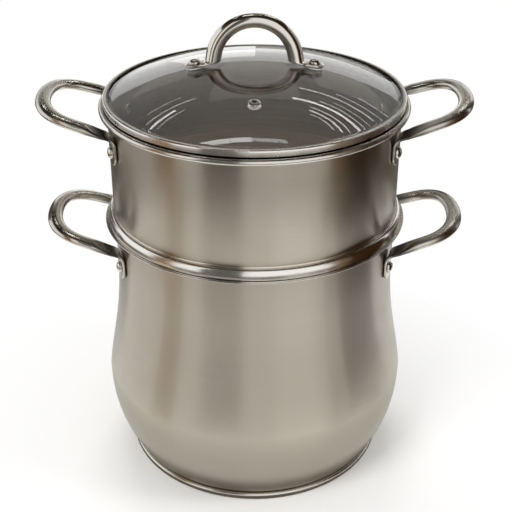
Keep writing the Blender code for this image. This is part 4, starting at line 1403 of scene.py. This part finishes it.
class COUSCOUSSIER_OT_stage(bpy.types.Operator):
    """Sets the floor, the lights and the camera"""

    bl_idname = "couscoussier.stage"
    bl_label = "Stage"

    def execute(self, context):
        scene = context.scene
        stage = scene.stage_settings
        make_floor(stage)
        make_world(scene, stage)
        make_lamps()
        make_cards()
        make_camera(scene, stage)
        scene.view_settings.view_transform = "Standard"
        return {"FINISHED"}


def make_floor(stage):
    """A pale floor that keeps the pot's shadow near it and glows white further out."""
    bm = bmesh.new()
    bmesh.ops.create_circle(bm, cap_ends=True, radius=stage.floor_radius, segments=CARD_STEPS)
    floor = as_object("floor", bm)
    floor.location.z = -SEAT_GAP / 3
    finish = Finish("floor_paper")
    finish.set(Base_Color=(*stage.paper, 1.0), Roughness=0.9, Specular_IOR_Level=0.1)
    lit = Shade(finish.tree, finish.shader.outputs[0])
    glow = finish.node("ShaderNodeEmission", {}, {"Color": (1.0, 1.0, 1.0, 1.0), "Strength": 1.0})
    away = finish.span(finish.from_axis()[-1], stage.shadow_start, stage.shadow_end)
    blended = finish.node("ShaderNodeMixShader", {}, {0: away, 1: lit, 2: glow})
    feed(finish.tree, finish.tree.nodes["Material Output"].inputs["Surface"], blended)
    floor.data.materials.append(finish.material)


def make_world(scene, stage):
    """White to the camera and in reflections, softer as light."""
    world = bpy.data.worlds.new("studio")
    world.use_nodes = True
    tree = world.node_tree
    background = tree.nodes["Background"]
    background.inputs["Color"].default_value = (1.0, 1.0, 1.0, 1.0)
    rays = add_node(tree, "ShaderNodeLightPath", {}, {}).socket.node.outputs
    seen = Shade(tree, rays["Is Camera Ray"])
    for kind in ("Is Glossy Ray", "Is Transmission Ray"):
        seen = seen.math("MAXIMUM", Shade(tree, rays[kind]))
    feed(tree, background.inputs["Strength"], seen * (1.0 - stage.fill) + stage.fill)
    scene.world = world


def make_lamps():
    """Each lamp's place, the height on the axis that it faces, its size and its power."""
    lamps = {
        "key": ((-1.1, -1.3, 1.9), 0.2, (0.9, 0.9), 26.0),
        "side": ((1.7, -0.5, 1.3), 0.2, (0.5, 1.2), 14.0),
        "back": ((-0.2, 1.6, 1.9), 0.3, (1.4, 0.5), 20.0),
    }
    for name, lamp in lamps.items():
        area_light(name, *lamp)


def make_camera(scene, stage):
    data = bpy.data.cameras.new("camera")
    data.lens = stage.camera_lens
    data.sensor_width = 36.0
    camera = bpy.data.objects.new("camera", data)
    camera.location = (stage.camera_offset, -stage.camera_distance, stage.camera_height)
    camera.rotation_euler = (math.pi / 2 - stage.camera_pitch, 0.0, 0.0)
    scene.collection.objects.link(camera)
    scene.camera = camera


PIECES = (
    COUSCOUSSIER_OT_pot_body,
    COUSCOUSSIER_OT_pot_base,
    COUSCOUSSIER_OT_pot_handles,
    COUSCOUSSIER_OT_steamer_body,
    COUSCOUSSIER_OT_steamer_floor,
    COUSCOUSSIER_OT_steamer_handles,
    COUSCOUSSIER_OT_lid_glass,
    COUSCOUSSIER_OT_lid_band,
    COUSCOUSSIER_OT_lid_vent,
    COUSCOUSSIER_OT_lid_handle,
    COUSCOUSSIER_OT_lid_fasteners,
    COUSCOUSSIER_OT_stage,
)


class COUSCOUSSIER_PT_sidebar(bpy.types.Panel):
    bl_label = "Couscoussier"
    bl_idname = "COUSCOUSSIER_PT_sidebar"
    bl_space_type = "VIEW_3D"
    bl_region_type = "UI"
    bl_category = "Couscoussier"

    def draw(self, context):
        for name, group in SETTINGS.items():
            box = self.layout.box()
            box.label(text=name.replace("_", " ").capitalize())
            settings = getattr(context.scene, name)
            for key in group.__annotations__:
                box.prop(settings, key)
        for piece in PIECES:
            self.layout.operator(piece.bl_idname)


def register():
    for group in (*SETTINGS.values(), *PIECES, COUSCOUSSIER_PT_sidebar):
        bpy.utils.register_class(group)
    for name, group in SETTINGS.items():
        setattr(bpy.types.Scene, name, bpy.props.PointerProperty(type=group))


def unregister():
    for name in SETTINGS:
        delattr(bpy.types.Scene, name)
    for group in reversed((*SETTINGS.values(), *PIECES, COUSCOUSSIER_PT_sidebar)):
        bpy.utils.unregister_class(group)


def main():
    register()
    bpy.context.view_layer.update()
    for piece in PIECES:
        family, name = piece.bl_idname.split(".")
        getattr(getattr(bpy.ops, family), name)()


if __name__ == "__main__":
    main()
